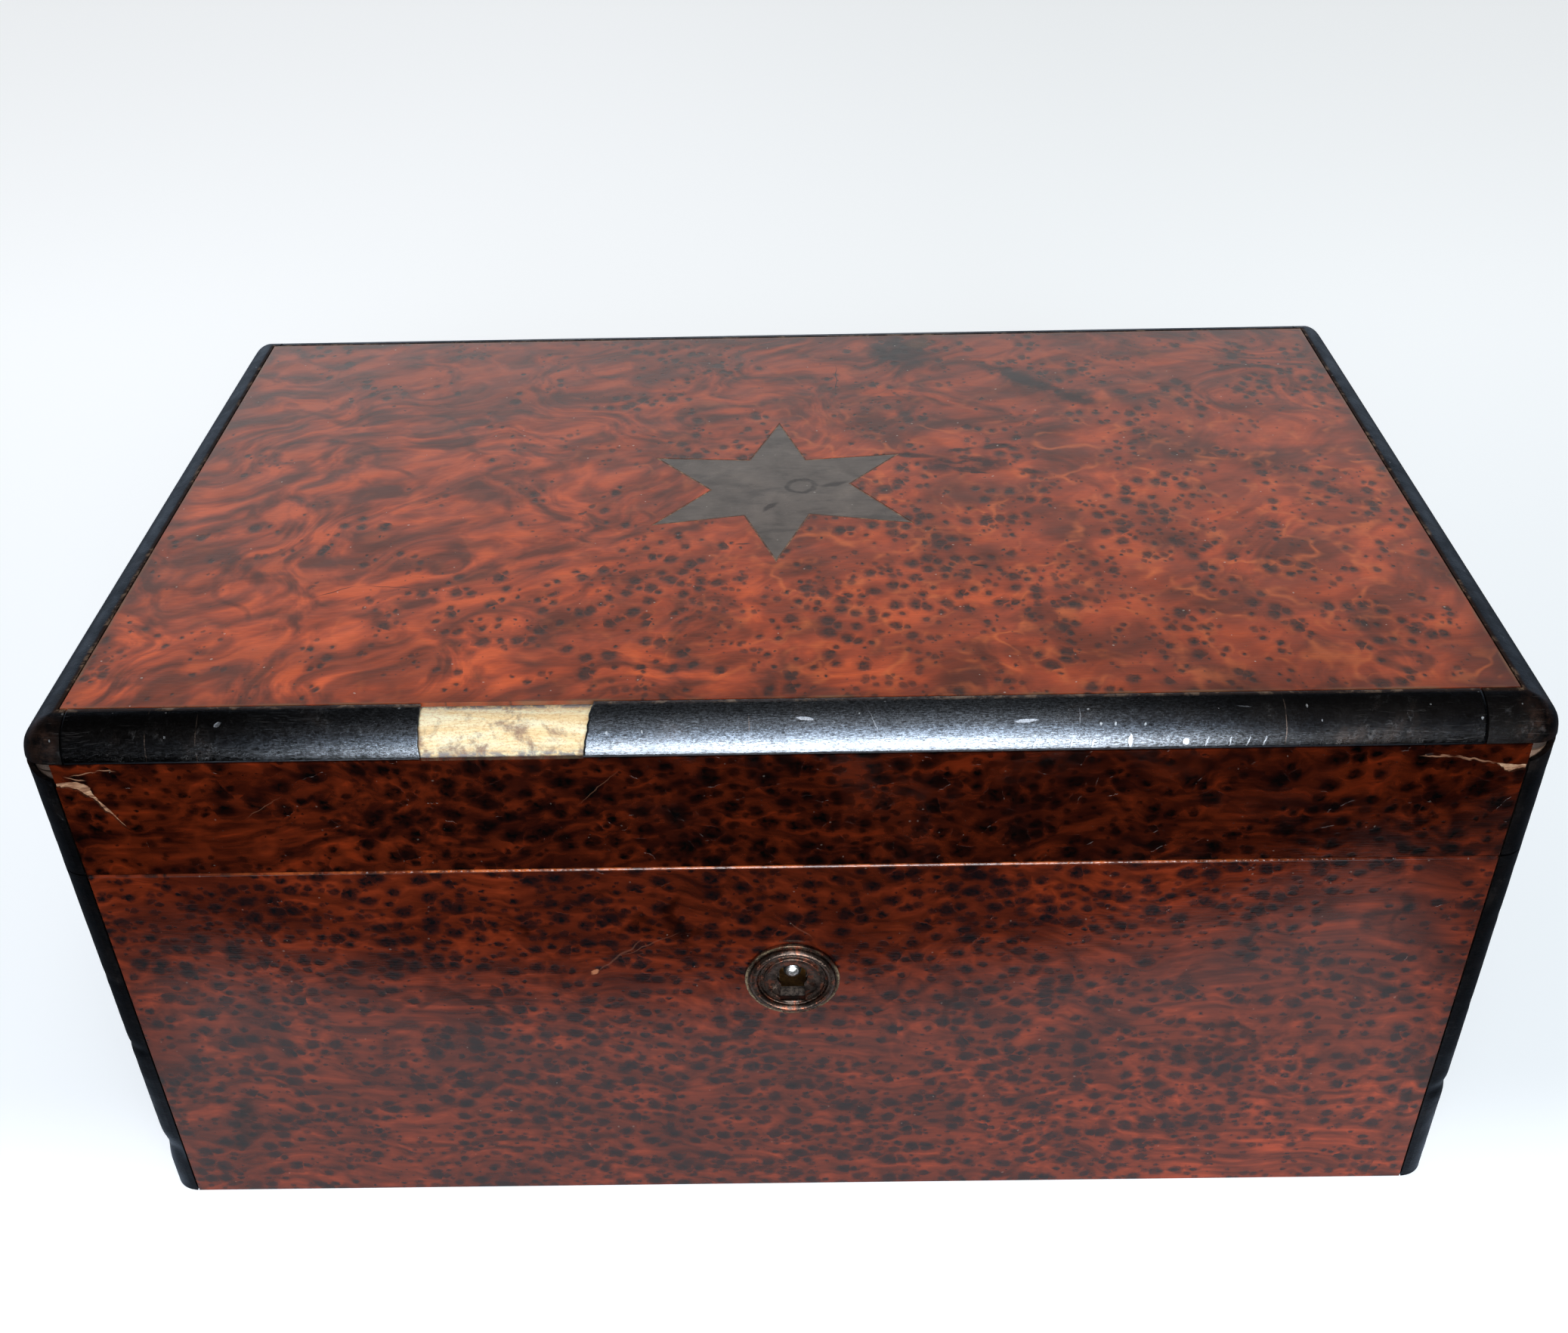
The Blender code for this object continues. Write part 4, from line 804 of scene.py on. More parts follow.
def ebonised(name, gloss, scratched, dull=0.0, joints=(), dings=(), nicks=()):
    """Dyed veneer. dings are ovals, nicks are strokes, both along the edging and round its bend. They are
    dents, drawn pale as painted glints.
    """
    finish = Finish(name, IOR=gloss, Specular_Tint=(0.80, 0.88, 1.0))
    cloudy = finish.noise(finish.warped(finish.place, 20, 15), 9, detail=5, roughness=0.65)
    bent = finish.parts(finish.warped(finish.place, 12, 1.6))
    hairs = hair_scratches(finish, bent[0], finish.minus(bent[2], finish.absolute(bent[1])))
    scuffs = finish.noise(finish.warped(finish.place, 5, 5), 1.7, detail=5, roughness=0.75)
    scuffs = finish.times(finish.step(scuffs, 0.52, 0.72), finish.step(cloudy, 0.46, 0.66))
    border = worn_border(finish)
    thin = finish.noise(finish.warped(finish.place, 4, 3), 3.4, detail=5, roughness=0.75)
    bare = finish.times(border, finish.step(thin, 0.5, 0.62))
    unrolled = finish.whole(finish.x, finish.minus(finish.z, finish.absolute(finish.y)))
    unrolled = finish.warped(unrolled, 1.2, 0.5)
    # dents along the edging, whose pale colour is a painted glint
    dents_and_glints = finish.times(finish.strokes(unrolled, nicks), 0.4)
    dents_and_glints = finish.most(finish.patches(unrolled, dings), dents_and_glints)

    colour = finish.ramp(cloudy, DYE_TONES)
    colour = finish.stained(colour, hairs, scratched, (0.052, 0.047, 0.043))
    colour = finish.stained(colour, scuffs, scratched, (0.070, 0.066, 0.064))
    colour = finish.mix(rubbed_corners(finish), colour, (0.060, 0.030, 0.020))
    colour = finish.mix(open_joints(finish, joints), colour, (0.075, 0.052, 0.040))
    colour = finish.stained(colour, border, 0.85, (0.045, 0.022, 0.013))
    colour = finish.stained(colour, bare, 0.8, (0.30, 0.19, 0.12))
    colour = finish.stained(colour, pale_flecks(finish), 0.5, (0.36, 0.36, 0.36))
    # painted glints: the dents drawn pale
    finish.set("Base Color", finish.stained(colour, dents_and_glints, 0.6, (0.36, 0.37, 0.40)))

    rough = finish.noise(finish.warped(finish.place, 10, 8), 6, detail=5, roughness=0.7)
    rough = finish.step(rough, 0.35, 0.7, 0.14 + dull, 0.3 + dull)
    rough = finish.plus(rough, finish.times(border, 0.4))
    finish.set("Roughness", finish.plus(rough, finish.times(finish.most(hairs, scuffs), 0.25)))
    # Metallic takes shine away where the shellac is worn and outside the painted reflection
    finish.set("Metallic", finish.step(worn_and_painted_sheen(finish, unrolled, bent[2]), 0.0, 1.05, 1.0, 0.0))

    pores = finish.noise(finish.stretched(finish.place, (0.6, 3.0, 3.0)), 1.0, detail=3)
    marked = finish.most(hairs, scuffs, finish.times(dents_and_glints, 3.0))
    rubs = finish.noise(finish.stretched(unrolled, (0.5, 2.2, 1.0)), 1.0, detail=5, roughness=0.8)
    waves = finish.relief(finish.noise(finish.place, 8, detail=2), 0.00015)
    waves = finish.relief(rubs, 0.00005, waves)
    finish.set("Normal", finish.relief(finish.minus(pores, finish.times(marked, 0.5)), 0.00002, waves))
    return finish


# %% The two black finishes
EDGE_JOINTS = (-119.1, -105.0, -96.7, -6.2, 81.0, 113.8)
# dings and nicks dent the edging, and are drawn pale as painted glints
EDGE_DINGS = (
    ((3.0, 41.3), (1.7, 0.5), -8, 0.3), ((39.0, 40.1), (2.2, 0.45), 4, 0.3),
    ((-1.6, 35.0), (1.0, 0.5), 0, 0.3), ((-93.2, 42.0), (0.5, 0.9), -30, 0.3),
    ((55.8, 35.4), (0.45, 1.6), 0, 0.3), ((64.8, 35.0), (0.6, 0.9), 0, 0.3),
)
EDGE_NICKS = [
    ((13.0, 44.3), (15.3, 36.5), 0.3), ((47.8, 44.0), (47.5, 38.0), 0.3), ((73.0, 43.0), (76.0, 42.6), 0.3),
]
EDGE_NICKS += [((x, 33.6), (x + 0.5, 36.2), 0.45) for x in (40.0, 46.0, 49.5, 68.0, 71.8, 74.7, 77.4)]
edging = ebonised("black_edging", 2.12, 0.45, joints=EDGE_JOINTS, dings=EDGE_DINGS, nicks=EDGE_NICKS)
corner_black = ebonised("black_corners", 1.6, 0.7, dull=0.2)
print("the edging has", len(EDGE_JOINTS), "joints,", len(EDGE_DINGS), "dings and", len(EDGE_NICKS), "nicks")

# %% [markdown]
# ## Bare and inside wood
# Under the veneers the box is soft pale wood. It shows where the edging has come away, with
# grey crusts of old glue along the break, and on the underside and the rims, where it is
# brown with age. Linings and inner lids are thin polished mahogany.


# %% Plain woods
def plain_wood(name, tones, grain=(0.06, 1.1, 1.1), rough=(0.5, 0.7), pores=0.00004):
    """Straight-grained wood: long noise along the board, with darker late wood."""
    finish = Finish(name, IOR=1.45)
    laid = finish.stretched(finish.warped(finish.place, 40, 7), grain)
    rings = finish.noise(laid, 1.6, detail=5, roughness=0.6, distortion=0.4)
    fine = finish.noise(finish.stretched(laid, (1.5, 7, 7)), 1.0, detail=3, roughness=0.7)
    finish.colour = finish.ramp(finish.mix(0.35, rings, fine), tones)
    finish.set("Base Color", finish.colour)
    finish.set("Roughness", finish.step(fine, 0.3, 0.7, rough[0], rough[1]))
    finish.set("Normal", finish.relief(fine, pores))
    print(name, "is a tree of", len(finish.tree.nodes), "nodes")
    return finish


# %% The woods inside the box
pine = plain_wood(
    "old_pine",
    ((0.3, (0.17, 0.085, 0.042)), (0.5, (0.30, 0.165, 0.082)), (0.7, (0.42, 0.25, 0.13))),
)
bare_wood = plain_wood(
    "bare_wood",
    ((0.28, (0.72, 0.42, 0.18)), (0.45, (0.92, 0.68, 0.36)), (0.65, (1.0, 0.93, 0.66))),
    grain=(0.16, 1.3, 1.3), pores=0.00012,
)
mahogany = plain_wood(
    "lining_mahogany",
    ((0.3, (0.10, 0.032, 0.016)), (0.5, (0.18, 0.062, 0.030)), (0.75, (0.28, 0.105, 0.050))),
    rough=(0.38, 0.52),
)
inner_mahogany = plain_wood(
    "inner_lid_mahogany",
    ((0.3, (0.12, 0.030, 0.013)), (0.5, (0.21, 0.058, 0.024)), (0.75, (0.33, 0.105, 0.042))),
    rough=(0.2, 0.34), pores=0.00002,
)
knob_black = plain_wood(
    "knob_ebony",
    ((0.3, (0.010, 0.008, 0.008)), (0.6, (0.024, 0.019, 0.017)), (0.8, (0.05, 0.038, 0.032))),
    grain=(1.1, 1.1, 0.1), rough=(0.16, 0.3), pores=0.00001,
)

# %% Dirt on the boards, and darker spots at the keyhole and the lid's corners
# the colour of the darker corners
CORNER_DARK = (0.035, 0.020, 0.013)
soiled = pine.noise(pine.warped(pine.place, 18, 14), 9, detail=5, roughness=0.7)
stained = pine.mix(pine.step(soiled, 0.48, 0.68, 0.0, 0.7), pine.colour, (0.075, 0.042, 0.026))
# darker behind the keyhole, mottled brown and black
dark_mottle = pine.step(pine.noise(pine.place, 0.6, 4, 0.8), 0.4, 0.6)
dark_mottle = pine.mix(dark_mottle, (0.020, 0.015, 0.012), (0.15, 0.11, 0.085))
stained = pine.darkened_oval(stained, (0, MM * KEY_HEIGHT), (8, 12), 1.0, dark_mottle)
# darker at both corners of the lid
stained = pine.darkened_oval(stained, (-124, 108), (7, 8), 1.0, CORNER_DARK)
stained = pine.darkened_oval(stained, (124, 108), (7, 8), 0.8, (0.20, 0.12, 0.08))
pine.set("Base Color", stained)
dress(pine, *[name for name in cad_nodes if name.endswith("_board") and name != "lid_top_board"])
dress(mahogany, "front_lining", "back_lining", "left_lining", "right_lining", "partition")
dress(inner_mahogany, "inner_lid_left", "inner_lid_right")
dress(knob_black, "inner_knob_left", "inner_knob_right")

# %% Bare wood where the edging is lost
gap_start, gap_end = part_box("edge_band_front_left")[1].x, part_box("edge_band_front_right")[0].x
print("the lost stretch is", round(MM * (gap_end - gap_start), 1), "mm long")
upper_glue = bare_wood.step(bare_wood.y, -71.5, -70.6)
glue_edge = bare_wood.most(upper_glue, bare_wood.step(bare_wood.z, 111.9, 111.0))
crust = bare_wood.noise(bare_wood.warped(bare_wood.place, 3, 2.5), 1.6, detail=4, roughness=0.7)
crust = bare_wood.times(glue_edge, bare_wood.step(crust, 0.42, 0.56))
in_gap = bare_wood.times(bare_wood.step(bare_wood.x, -62, -61), bare_wood.step(bare_wood.x, -30.0, -31.0))
fuzz = bare_wood.noise(bare_wood.stretched(bare_wood.place, (1.6, 2.6, 2.6)), 1.0, 4, 0.8)
dirt = bare_wood.noise(bare_wood.warped(bare_wood.place, 6, 5), 4.2, detail=4, roughness=0.65)
dirt = bare_wood.times(bare_wood.step(dirt, 0.47, 0.66, 0.0, 0.85), bare_wood.step(fuzz, 0.3, 0.5, 0.4, 1.0))
colour = bare_wood.mix(bare_wood.step(fuzz, 0.48, 0.62, 0.0, 0.55), bare_wood.colour, (0.66, 0.32, 0.12))
colour = bare_wood.mix(dirt, colour, (0.26, 0.14, 0.10))
colour = bare_wood.stained(colour, crust, 0.9, (0.30, 0.26, 0.25))
colour = bare_wood.mix(in_gap, (0.13, 0.075, 0.045), colour)
# darker at both corners of the lid
for hand in (-1, 1):
    colour = bare_wood.darkened_oval(colour, (124 * hand, 110), (7, 8), 1.0, CORNER_DARK)
bare_wood.set("Base Color", colour)
dress(bare_wood, "lid_top_board")

# %% [markdown]
# ## Metals
# The escutcheon is turned from brass that has gone nearly black, and only its lip is rubbed
# bright. The lock and hinges inside have kept a dull yellow. Metal looks like metal through what
# it mirrors, so its colour varies little and its roughness a lot.


# %% Metals
def old_metal(name, clean, tarnish, share=0.5, rough=(0.25, 0.5), grind=None):
    finish = Finish(name, Metallic=1.0)
    spots = finish.noise(finish.warped(finish.place, 4, 3), 2.6, detail=5, roughness=0.7)
    finish.colour = finish.mix(finish.step(spots, share - 0.12, share + 0.12), clean, tarnish)
    finish.set("Base Color", finish.colour)
    lines = finish.noise(finish.stretched(finish.place, grind or (1, 1, 1)), 1.0, detail=4)
    finish.set("Roughness", finish.step(finish.mix(0.5, lines, spots), 0.35, 0.65, rough[0], rough[1]))
    finish.set("Normal", finish.relief(lines, 0.000015))
    return finish


brass = old_metal("old_brass", (0.46, 0.30, 0.12), (0.17, 0.105, 0.05), 0.5, (0.3, 0.55), (0.3, 6, 6))
# the lock case darker where it shows through the keyhole
dark_mottle = brass.step(brass.noise(brass.place, 0.5, 4, 0.8), 0.4, 0.6)
dark_mottle = brass.mix(dark_mottle, (0.030, 0.021, 0.016), (0.16, 0.105, 0.072))
darkened_brass = brass.darkened_oval(brass.colour, (0, MM * KEY_HEIGHT - 1), (6, 8), 1.0, dark_mottle)
brass.set("Base Color", darkened_brass)
steel = old_metal("dull_steel", (0.42, 0.41, 0.40), (0.16, 0.13, 0.11), 0.6, (0.2, 0.42))
foil = old_metal("tea_foil", (0.50, 0.50, 0.51), (0.30, 0.30, 0.30), 0.55, (0.3, 0.5))
folds = foil.noise(foil.warped(foil.place, 14, 12), 7, detail=5, roughness=0.6, distortion=0.6)
foil.set("Normal", foil.relief(folds, 0.0009))
dress(brass, "lock_case", "lock_bolt", "lid_plate")
dress(brass, *[name for name in cad_nodes if name.startswith("hinge_leaf")])
dress(steel, "lock_pin", "hinge_pin_left", "hinge_pin_right")
dress(foil, "tea_liner_left", "tea_liner_right")

# %% Escutcheon bronze
bronze = old_metal("dark_bronze", (0.085, 0.058, 0.045), (0.035, 0.026, 0.022), 0.5, (0.16, 0.36))
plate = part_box("escutcheon")
centre = MM * (plate[0] + plate[1]) / 2
print("the escutcheon's centre is", round(centre.x, 2), "across and", round(centre.z, 2), "up")
off_centre = bronze.whole(bronze.minus(bronze.x, centre.x), bronze.minus(bronze.z, centre.z))
rub = bronze.step(bronze.length(off_centre), 8.0, 8.45)
rub = bronze.times(rub, bronze.step(bronze.noise(bronze.place, 5, 3), 0.42, 0.6))
# painted reddish reflections, in patches on the dark bronze
red_reflections = bronze.noise(bronze.warped(bronze.place, 3, 2), 1.6, detail=4, roughness=0.7)
colour = bronze.mix(bronze.step(red_reflections, 0.5, 0.62, 0.0, 0.75), bronze.colour, (0.20, 0.060, 0.032))
bronze.set("Base Color", bronze.mix(rub, colour, (0.42, 0.32, 0.20)))
bronze.set("Normal", bronze.relief(bronze.noise(bronze.place, 0.55, detail=4, roughness=0.7), 0.00007))

# %% [markdown]
# ## Smooth copies of round pieces
# The frame's meshes are plain triangles, fine for measuring but faceted where a piece is round.
# They must not be changed, so a round piece gets a copy: doubled points are merged, flat
# neighbours joined into one face, sharp edges creased and the rest smoothed by a Subdivision
# Surface. The copy then stands in for the original.


# %% Smooth copies
SHARP_ANGLE = 35        # degrees between faces, above which an edge stays sharp


def merged_mesh(name):
    """The CAD node's mesh as a bmesh of clean flat faces."""
    bm = bmesh.new()
    bm.from_mesh(cad_nodes[name].data)
    bmesh.ops.remove_doubles(bm, verts=bm.verts, dist=1e-6)
    bmesh.ops.dissolve_limit(bm, angle_limit=math.radians(0.5), verts=bm.verts, edges=bm.edges)
    return bm


def add_piece(name, bm, finish, body, stands_for=(), sharp=SHARP_ANGLE):
    """Puts a bmesh into the scene as a finished piece that rides on a body."""
    mesh = bpy.data.meshes.new(name)
    bm.to_mesh(mesh)
    bm.free()
    mesh.materials.append(finish.material)
    mesh.shade_smooth()
    mesh.set_sharp_from_angle(angle=math.radians(sharp))
    piece = bpy.data.objects.new(name, mesh)
    bpy.context.scene.collection.objects.link(piece)
    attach(piece, body)
    if stands_for:
        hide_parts(*stands_for)
    return piece


def baked(piece):
    """The piece with its modifiers made real."""
    view = bpy.context.evaluated_depsgraph_get()
    mesh = bpy.data.meshes.new_from_object(piece.evaluated_get(view))
    piece.modifiers.clear()
    piece.data = mesh
    return piece


# %% Nicks in a corner strip
NICK_ROW = 0.0012       # a corner strip is cut into rows this high
OUTER_SHELL = 0.0012    # only its outermost part is worn
KEPT_END = 0.0005       # its ends stay as they are
WEAR = 0.00012          # how deep it is worn where no nick is


def nicked(bm, seed, nicks):
    """Cuts a corner strip into short lengths and presses its outside in, at random and at nicks."""
    foot = min(vert.co.z for vert in bm.verts)
    head = max(vert.co.z for vert in bm.verts)
    rows = int((head - foot) / NICK_ROW)
    for row in range(1, rows):
        level = Vector((0, 0, foot + (head - foot) * row / rows))
        parts = [*bm.verts, *bm.edges, *bm.faces]
        bmesh.ops.bisect_plane(bm, geom=parts, plane_co=level, plane_no=(0, 0, 1))
    middle = sum((vert.co for vert in bm.verts), Vector()) / len(bm.verts)
    outwards = Vector((math.copysign(1, middle.x), math.copysign(1, middle.y), 0)).normalized()
    reach = max(vert.co.dot(outwards) for vert in bm.verts)
    for vert in bm.verts:
        inside = reach - vert.co.dot(outwards) > OUTER_SHELL
        if inside or not foot + KEPT_END < vert.co.z < head - KEPT_END:
            continue
        worn = WEAR * abs(noise.noise(Vector((seed, 0, 400 * vert.co.z))))
        for at, half, depth in nicks:
            worn = max(worn, depth * (1 - abs(vert.co.z - at) / half))
        vert.co -= outwards * worn


# %% Smoothing
def smooth_copy(node, finish, levels=2, change=None):
    """A smoothed copy of a CAD node, which stands in for it."""
    bm = merged_mesh(node)
    if change:
        change(bm)
    crease = bm.edges.layers.float.new("crease_edge")
    for edge in bm.edges:
        edge[crease] = 1.0 if edge.calc_face_angle(0) > math.radians(SHARP_ANGLE) else 0.0
    body = cad_nodes[node]["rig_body"]
    piece = add_piece("finished_" + node, bm, finish, body, [node])
    if levels:
        rounding = piece.modifiers.new("rounding", "SUBSURF")
        rounding.levels = levels
        rounding.render_levels = levels
        baked(piece)
    return piece


# %% Corner strips, bands, escutcheon and knobs
# each nick: its height, half its length and its depth
NICKS = {
    "front_left": ((0.0415, 0.0012, 0.0004), (0.0600, 0.0008, 0.0003), (0.0120, 0.0042, 0.0007)),
    "front_right": ((0.0255, 0.0022, 0.0005), (0.0700, 0.0008, 0.0003), (0.0480, 0.0008, 0.0003)),
    "back_left": ((0.0330, 0.0010, 0.0004),),
    "back_right": ((0.0520, 0.0012, 0.0004),),
}
for turn, (corner, nicks) in enumerate(NICKS.items()):
    smooth_copy("corner_strip_" + corner, corner_black, 1, lambda bm: nicked(bm, turn, nicks))
    smooth_copy("lid_corner_strip_" + corner, corner_black, 1, lambda bm: nicked(bm, turn + len(NICKS), ()))
for edge in ("left", "right", "back"):
    smooth_copy("edge_band_" + edge, corner_black)
smooth_copy("lid_top_board", bare_wood)
smooth_copy("escutcheon", bronze, levels=0)
for hand in ("left", "right"):
    smooth_copy("inner_knob_" + hand, knob_black, levels=1)

# %% [markdown]
# ## The seam of the star
# The star was sawn by hand a little smaller than its hole, and hot glue, wax and dirt have filled
# the joint. Left open, the joint would draw a hard black outline that old marquetry never has.
# So a thin ring runs round the star, flush with the veneer: the outline of the CAD star, and the
# same outline moved out by the width of the joint.

# %% Seam of the star
SEAM = 0.00034
SEAM_SUNK = 0.00003


def moved_out(points, reach):
    """A closed outline moved out by reach, corner by corner."""
    made = []
    for before, here, after in zip(points[-1:] + points[:-1], points, points[1:] + points[:1]):
        ways = [(here - before).normalized(), (after - here).normalized()]
        first, second = [Vector((way.y, -way.x)) for way in ways]
        made.append(here + (first + second) * reach / (1 + first.dot(second)))
    return made


star_mesh = merged_mesh("star_inlay")
star_top = max(star_mesh.faces, key=lambda face: face.calc_center_median().z)
outline = [loop.vert.co.xy for loop in star_top.loops]
joint = [moved_out(outline, 0.0), moved_out(outline, SEAM)]
seam = bmesh.new()
rings = []
for level in (LID_TOP - SEAM_SUNK, LID_TOP - VENEER):
    rings += [[seam.verts.new((*point, level)) for point in ring] for ring in joint]
inner_top, outer_top, inner_foot, outer_foot = rings
walk = (inner_top, outer_top, outer_foot, inner_foot, inner_top)
for first, second in zip(walk, walk[1:]):
    for step in range(len(outline)):
        after = (step + 1) % len(outline)
        seam.faces.new((first[step], second[step], second[after], first[after]))
bmesh.ops.recalc_face_normals(seam, faces=seam.faces)
star_mesh.free()
WAX_TONES = ((0.35, (0.06, 0.020, 0.010)), (0.5, (0.14, 0.055, 0.028)), (0.62, (0.40, 0.22, 0.12)))
wax = plain_wood("old_wax", WAX_TONES, grain=(0.8, 0.8, 0.8), rough=(0.3, 0.6))
add_piece("star_seam", seam, wax, "lid")
print("corners of the star", len(outline))

# %% [markdown]
# ## The front of the case
# Two centuries of fingers have rounded the upper arris of the case front, just under the lid. It
# is a third of a millimetre, yet it draws the bright line between box and lid, because a rounded
# edge turns towards the light somewhere. A bevel of that one edge is enough.

# %% Case front with a worn arris
TINY = 1e-5
WORN_ARRIS = 0.00036
LARGE_FACE = 0.0005     # square metres; such a face stays flat beside the rounded arris
case_leaf = merged_mesh("front_veneer")
upper_arris = [
    edge for edge in case_leaf.edges
    if all(abs(end.co.z - RIM) < TINY and abs(end.co.y - FRONT) < TINY for end in edge.verts)
]
bmesh.ops.bevel(case_leaf, geom=upper_arris, offset=WORN_ARRIS, segments=5, profile=0.5, affect="EDGES")
case_sheet = add_piece(
    "finished_front_veneer", case_leaf, case_front, "case", ["front_veneer"], sharp=50
)
for face in case_sheet.data.polygons:
    face.use_smooth = face.area < LARGE_FACE
print("edges rounded:", len(upper_arris))

# %% [markdown]
# ## The front of the lid
# At both upper corners the lid's veneer has split along the grain. Above each split a chip has
# sunk a little, and between chip and sheet a sliver is gone and shows pale torn wood. A crack
# drawn in the colour alone would look printed, so sheet, chips and slivers are separate thin
# solids, cut from outlines whose broken sides are roughened by seeded chance.

# %% Torn wood and thin leaves
torn_wood = plain_wood(
    "torn_wood",
    ((0.38, (0.085, 0.026, 0.012)), (0.50, (0.42, 0.19, 0.095)), (0.62, (0.80, 0.50, 0.30))),
    grain=(0.5, 2.4, 2.4), rough=(0.7, 0.9), pores=0.0003,
)


def roughened(points, reach, seed):
    """The points with two more between each pair, pushed about at random."""
    chance = random.Random(seed)
    made = []
    for here, there in zip(points, points[1:]):
        made.append(here)
        for share in (1 / 3, 2 / 3):
            x = here[0] + (there[0] - here[0]) * share + chance.uniform(-reach, reach)
            z = here[1] + (there[1] - here[1]) * share + chance.uniform(-reach, reach)
            made.append((x, z))
    return made + [points[-1]]


def leaf(name, outline, front, back, finish):
    """A thin sheet on the front of the lid. The outline is in millimetres, seen from the front."""
    bm = bmesh.new()
    face = bm.faces.new([bm.verts.new((x / MM, front, z / MM)) for x, z in outline])
    pushed = bmesh.ops.extrude_face_region(bm, geom=[face])["geom"]
    for vert in (item for item in pushed if isinstance(item, bmesh.types.BMVert)):
        vert.co.y = back
    bmesh.ops.recalc_face_normals(bm, faces=bm.faces)
    print(name, "has", len(outline), "corners")
    return add_piece(name, bm, finish, "lid")


# %% Outlines of the splits
SPLIT_LEFT = [(-115.3, 103.5), (-113.3, 105.8), (-112.5, 108.2), (-110.9, 110.7)]
TORN_LEFT_LOW = [
    (-121.5, 106.1), (-120.3, 106.0), (-118.3, 105.5), (-116.8, 104.0), (-115.8, 103.0), (-114.9, 101.2),
    (-113.9, 100.0), (-112.8, 98.1), (-111.2, 96.4),
]
TORN_LEFT_TIP = [(-111.2, 96.4), (-112.5, 98.5), (-113.5, 100.6), (-114.4, 102.2), (-115.3, 103.5)]
TORN_LEFT_HIGH = [
    (-115.3, 103.5), (-116.0, 104.7), (-115.9, 105.8), (-116.6, 106.5), (-117.8, 107.1), (-121.5, 106.8),
]
SPLIT_RIGHT = [
    (103.9, 110.7), (104.3, 108.7), (106.1, 109.0), (107.5, 108.5), (109.2, 108.6), (111.4, 107.8),
    (113.6, 107.1), (116.2, 106.8),
]
TORN_RIGHT_LOW = [
    (116.2, 106.8), (117.4, 106.0), (118.5, 105.1), (119.0, 104.9), (120.2, 105.5), (121.5, 105.6),
]
TORN_RIGHT_HIGH = [(121.5, 106.5), (119.8, 106.4), (118.0, 106.6), (116.2, 106.8)]
print("the splits are", len(SPLIT_LEFT), "and", len(SPLIT_RIGHT), "points long before they are roughened")

# %% Sheet, chips and slivers of the lid front
SUNK = 0.00022          # how far the chips have sunk

leaf_low, leaf_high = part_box("lid_front_veneer")
foot, head = MM * leaf_low.z, MM * leaf_high.z
left, right = MM * leaf_low.x, MM * leaf_high.x
sheet_back = leaf_high.y
split_left = roughened(SPLIT_LEFT, 0.12, 1)
torn_left_low = roughened(TORN_LEFT_LOW, 0.16, 2)
torn_left_high = roughened(TORN_LEFT_HIGH, 0.14, 3)
split_right = roughened(SPLIT_RIGHT, 0.12, 4)
torn_right_low = roughened(TORN_RIGHT_LOW, 0.14, 5)
torn_right_high = roughened(TORN_RIGHT_HIGH, 0.12, 6)
sheet_outline = [(left, foot), (right, foot), *torn_right_low[::-1], *split_right[::-1][1:]]
sheet_outline += [*split_left[::-1], *TORN_LEFT_TIP[::-1][1:], *torn_left_low[::-1][1:]]
lid_sheet = leaf("finished_lid_front_veneer", sheet_outline, FRONT, sheet_back, lid_front)
left_chip = [*split_left, (left, head), *torn_left_high[::-1][:-1]]
right_chip = [*split_right[1:], *torn_right_high[::-1][1:], (right, head), (104.6, head)]
leaf("lid_chip_left", left_chip, FRONT + SUNK, sheet_back, lid_front)
leaf("lid_chip_right", right_chip, FRONT + SUNK, sheet_back, lid_front)
left_sliver = [*torn_left_low, *TORN_LEFT_TIP[1:], *torn_left_high[1:]]
right_sliver = [*torn_right_low, *torn_right_high[:-1]]
leaf("torn_sliver_left", left_sliver, FRONT + 0.5 * VENEER, sheet_back, torn_wood)
leaf("torn_sliver_right", right_sliver, FRONT + 0.5 * VENEER, sheet_back, torn_wood)
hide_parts("lid_front_veneer")

# %% [markdown]
# ## The black edging of the front
# This is the piece that catches the light: a strip of veneer bent round the front edge of the
# lid, in two lengths, with raggedly broken ends where the stretch between them was lost. Its
# shape follows a rule, an arc swept along the edge, so Geometry Nodes make it from a flat grid.
# Its ends slant from the wall to the top, and noise breaks them up.


# %% A recipe for shapes
class ShapeRecipe(Recipe):
    """A Geometry Nodes tree with named inputs for its sizes."""

    def __init__(self, name):
        super().__init__(bpy.data.node_groups.new(name, "GeometryNodeTree"))
        self.tree.interface.new_socket("Geometry", in_out="INPUT", socket_type="NodeSocketGeometry")
        self.tree.interface.new_socket("Geometry", in_out="OUTPUT", socket_type="NodeSocketGeometry")
        self.entry = self.tree.nodes.new("NodeGroupInput")
        self.identifiers = {}

    def input(self, name, default, kind="NodeSocketFloat"):
        socket = self.tree.interface.new_socket(name, in_out="INPUT", socket_type=kind)
        if default is not None:
            socket.default_value = default
        self.identifiers[name] = socket.identifier
        return self.entry.outputs[name]

    def output(self, geometry):
        self.node("NodeGroupOutput", {0: geometry})

    def blend(self, share, first, second):
        return self.get("ShaderNodeMix", {0: share, 2: first, 3: second}, data_type="FLOAT")

    def use(self, piece, values):
        """Adds the tree to a piece and sets its inputs by their identifiers."""
        modifier = piece.modifiers.new(self.tree.name, "NODES")
        modifier.node_group = self.tree
        for name, value in values.items():
            modifier[self.identifiers[name]] = value
        return modifier


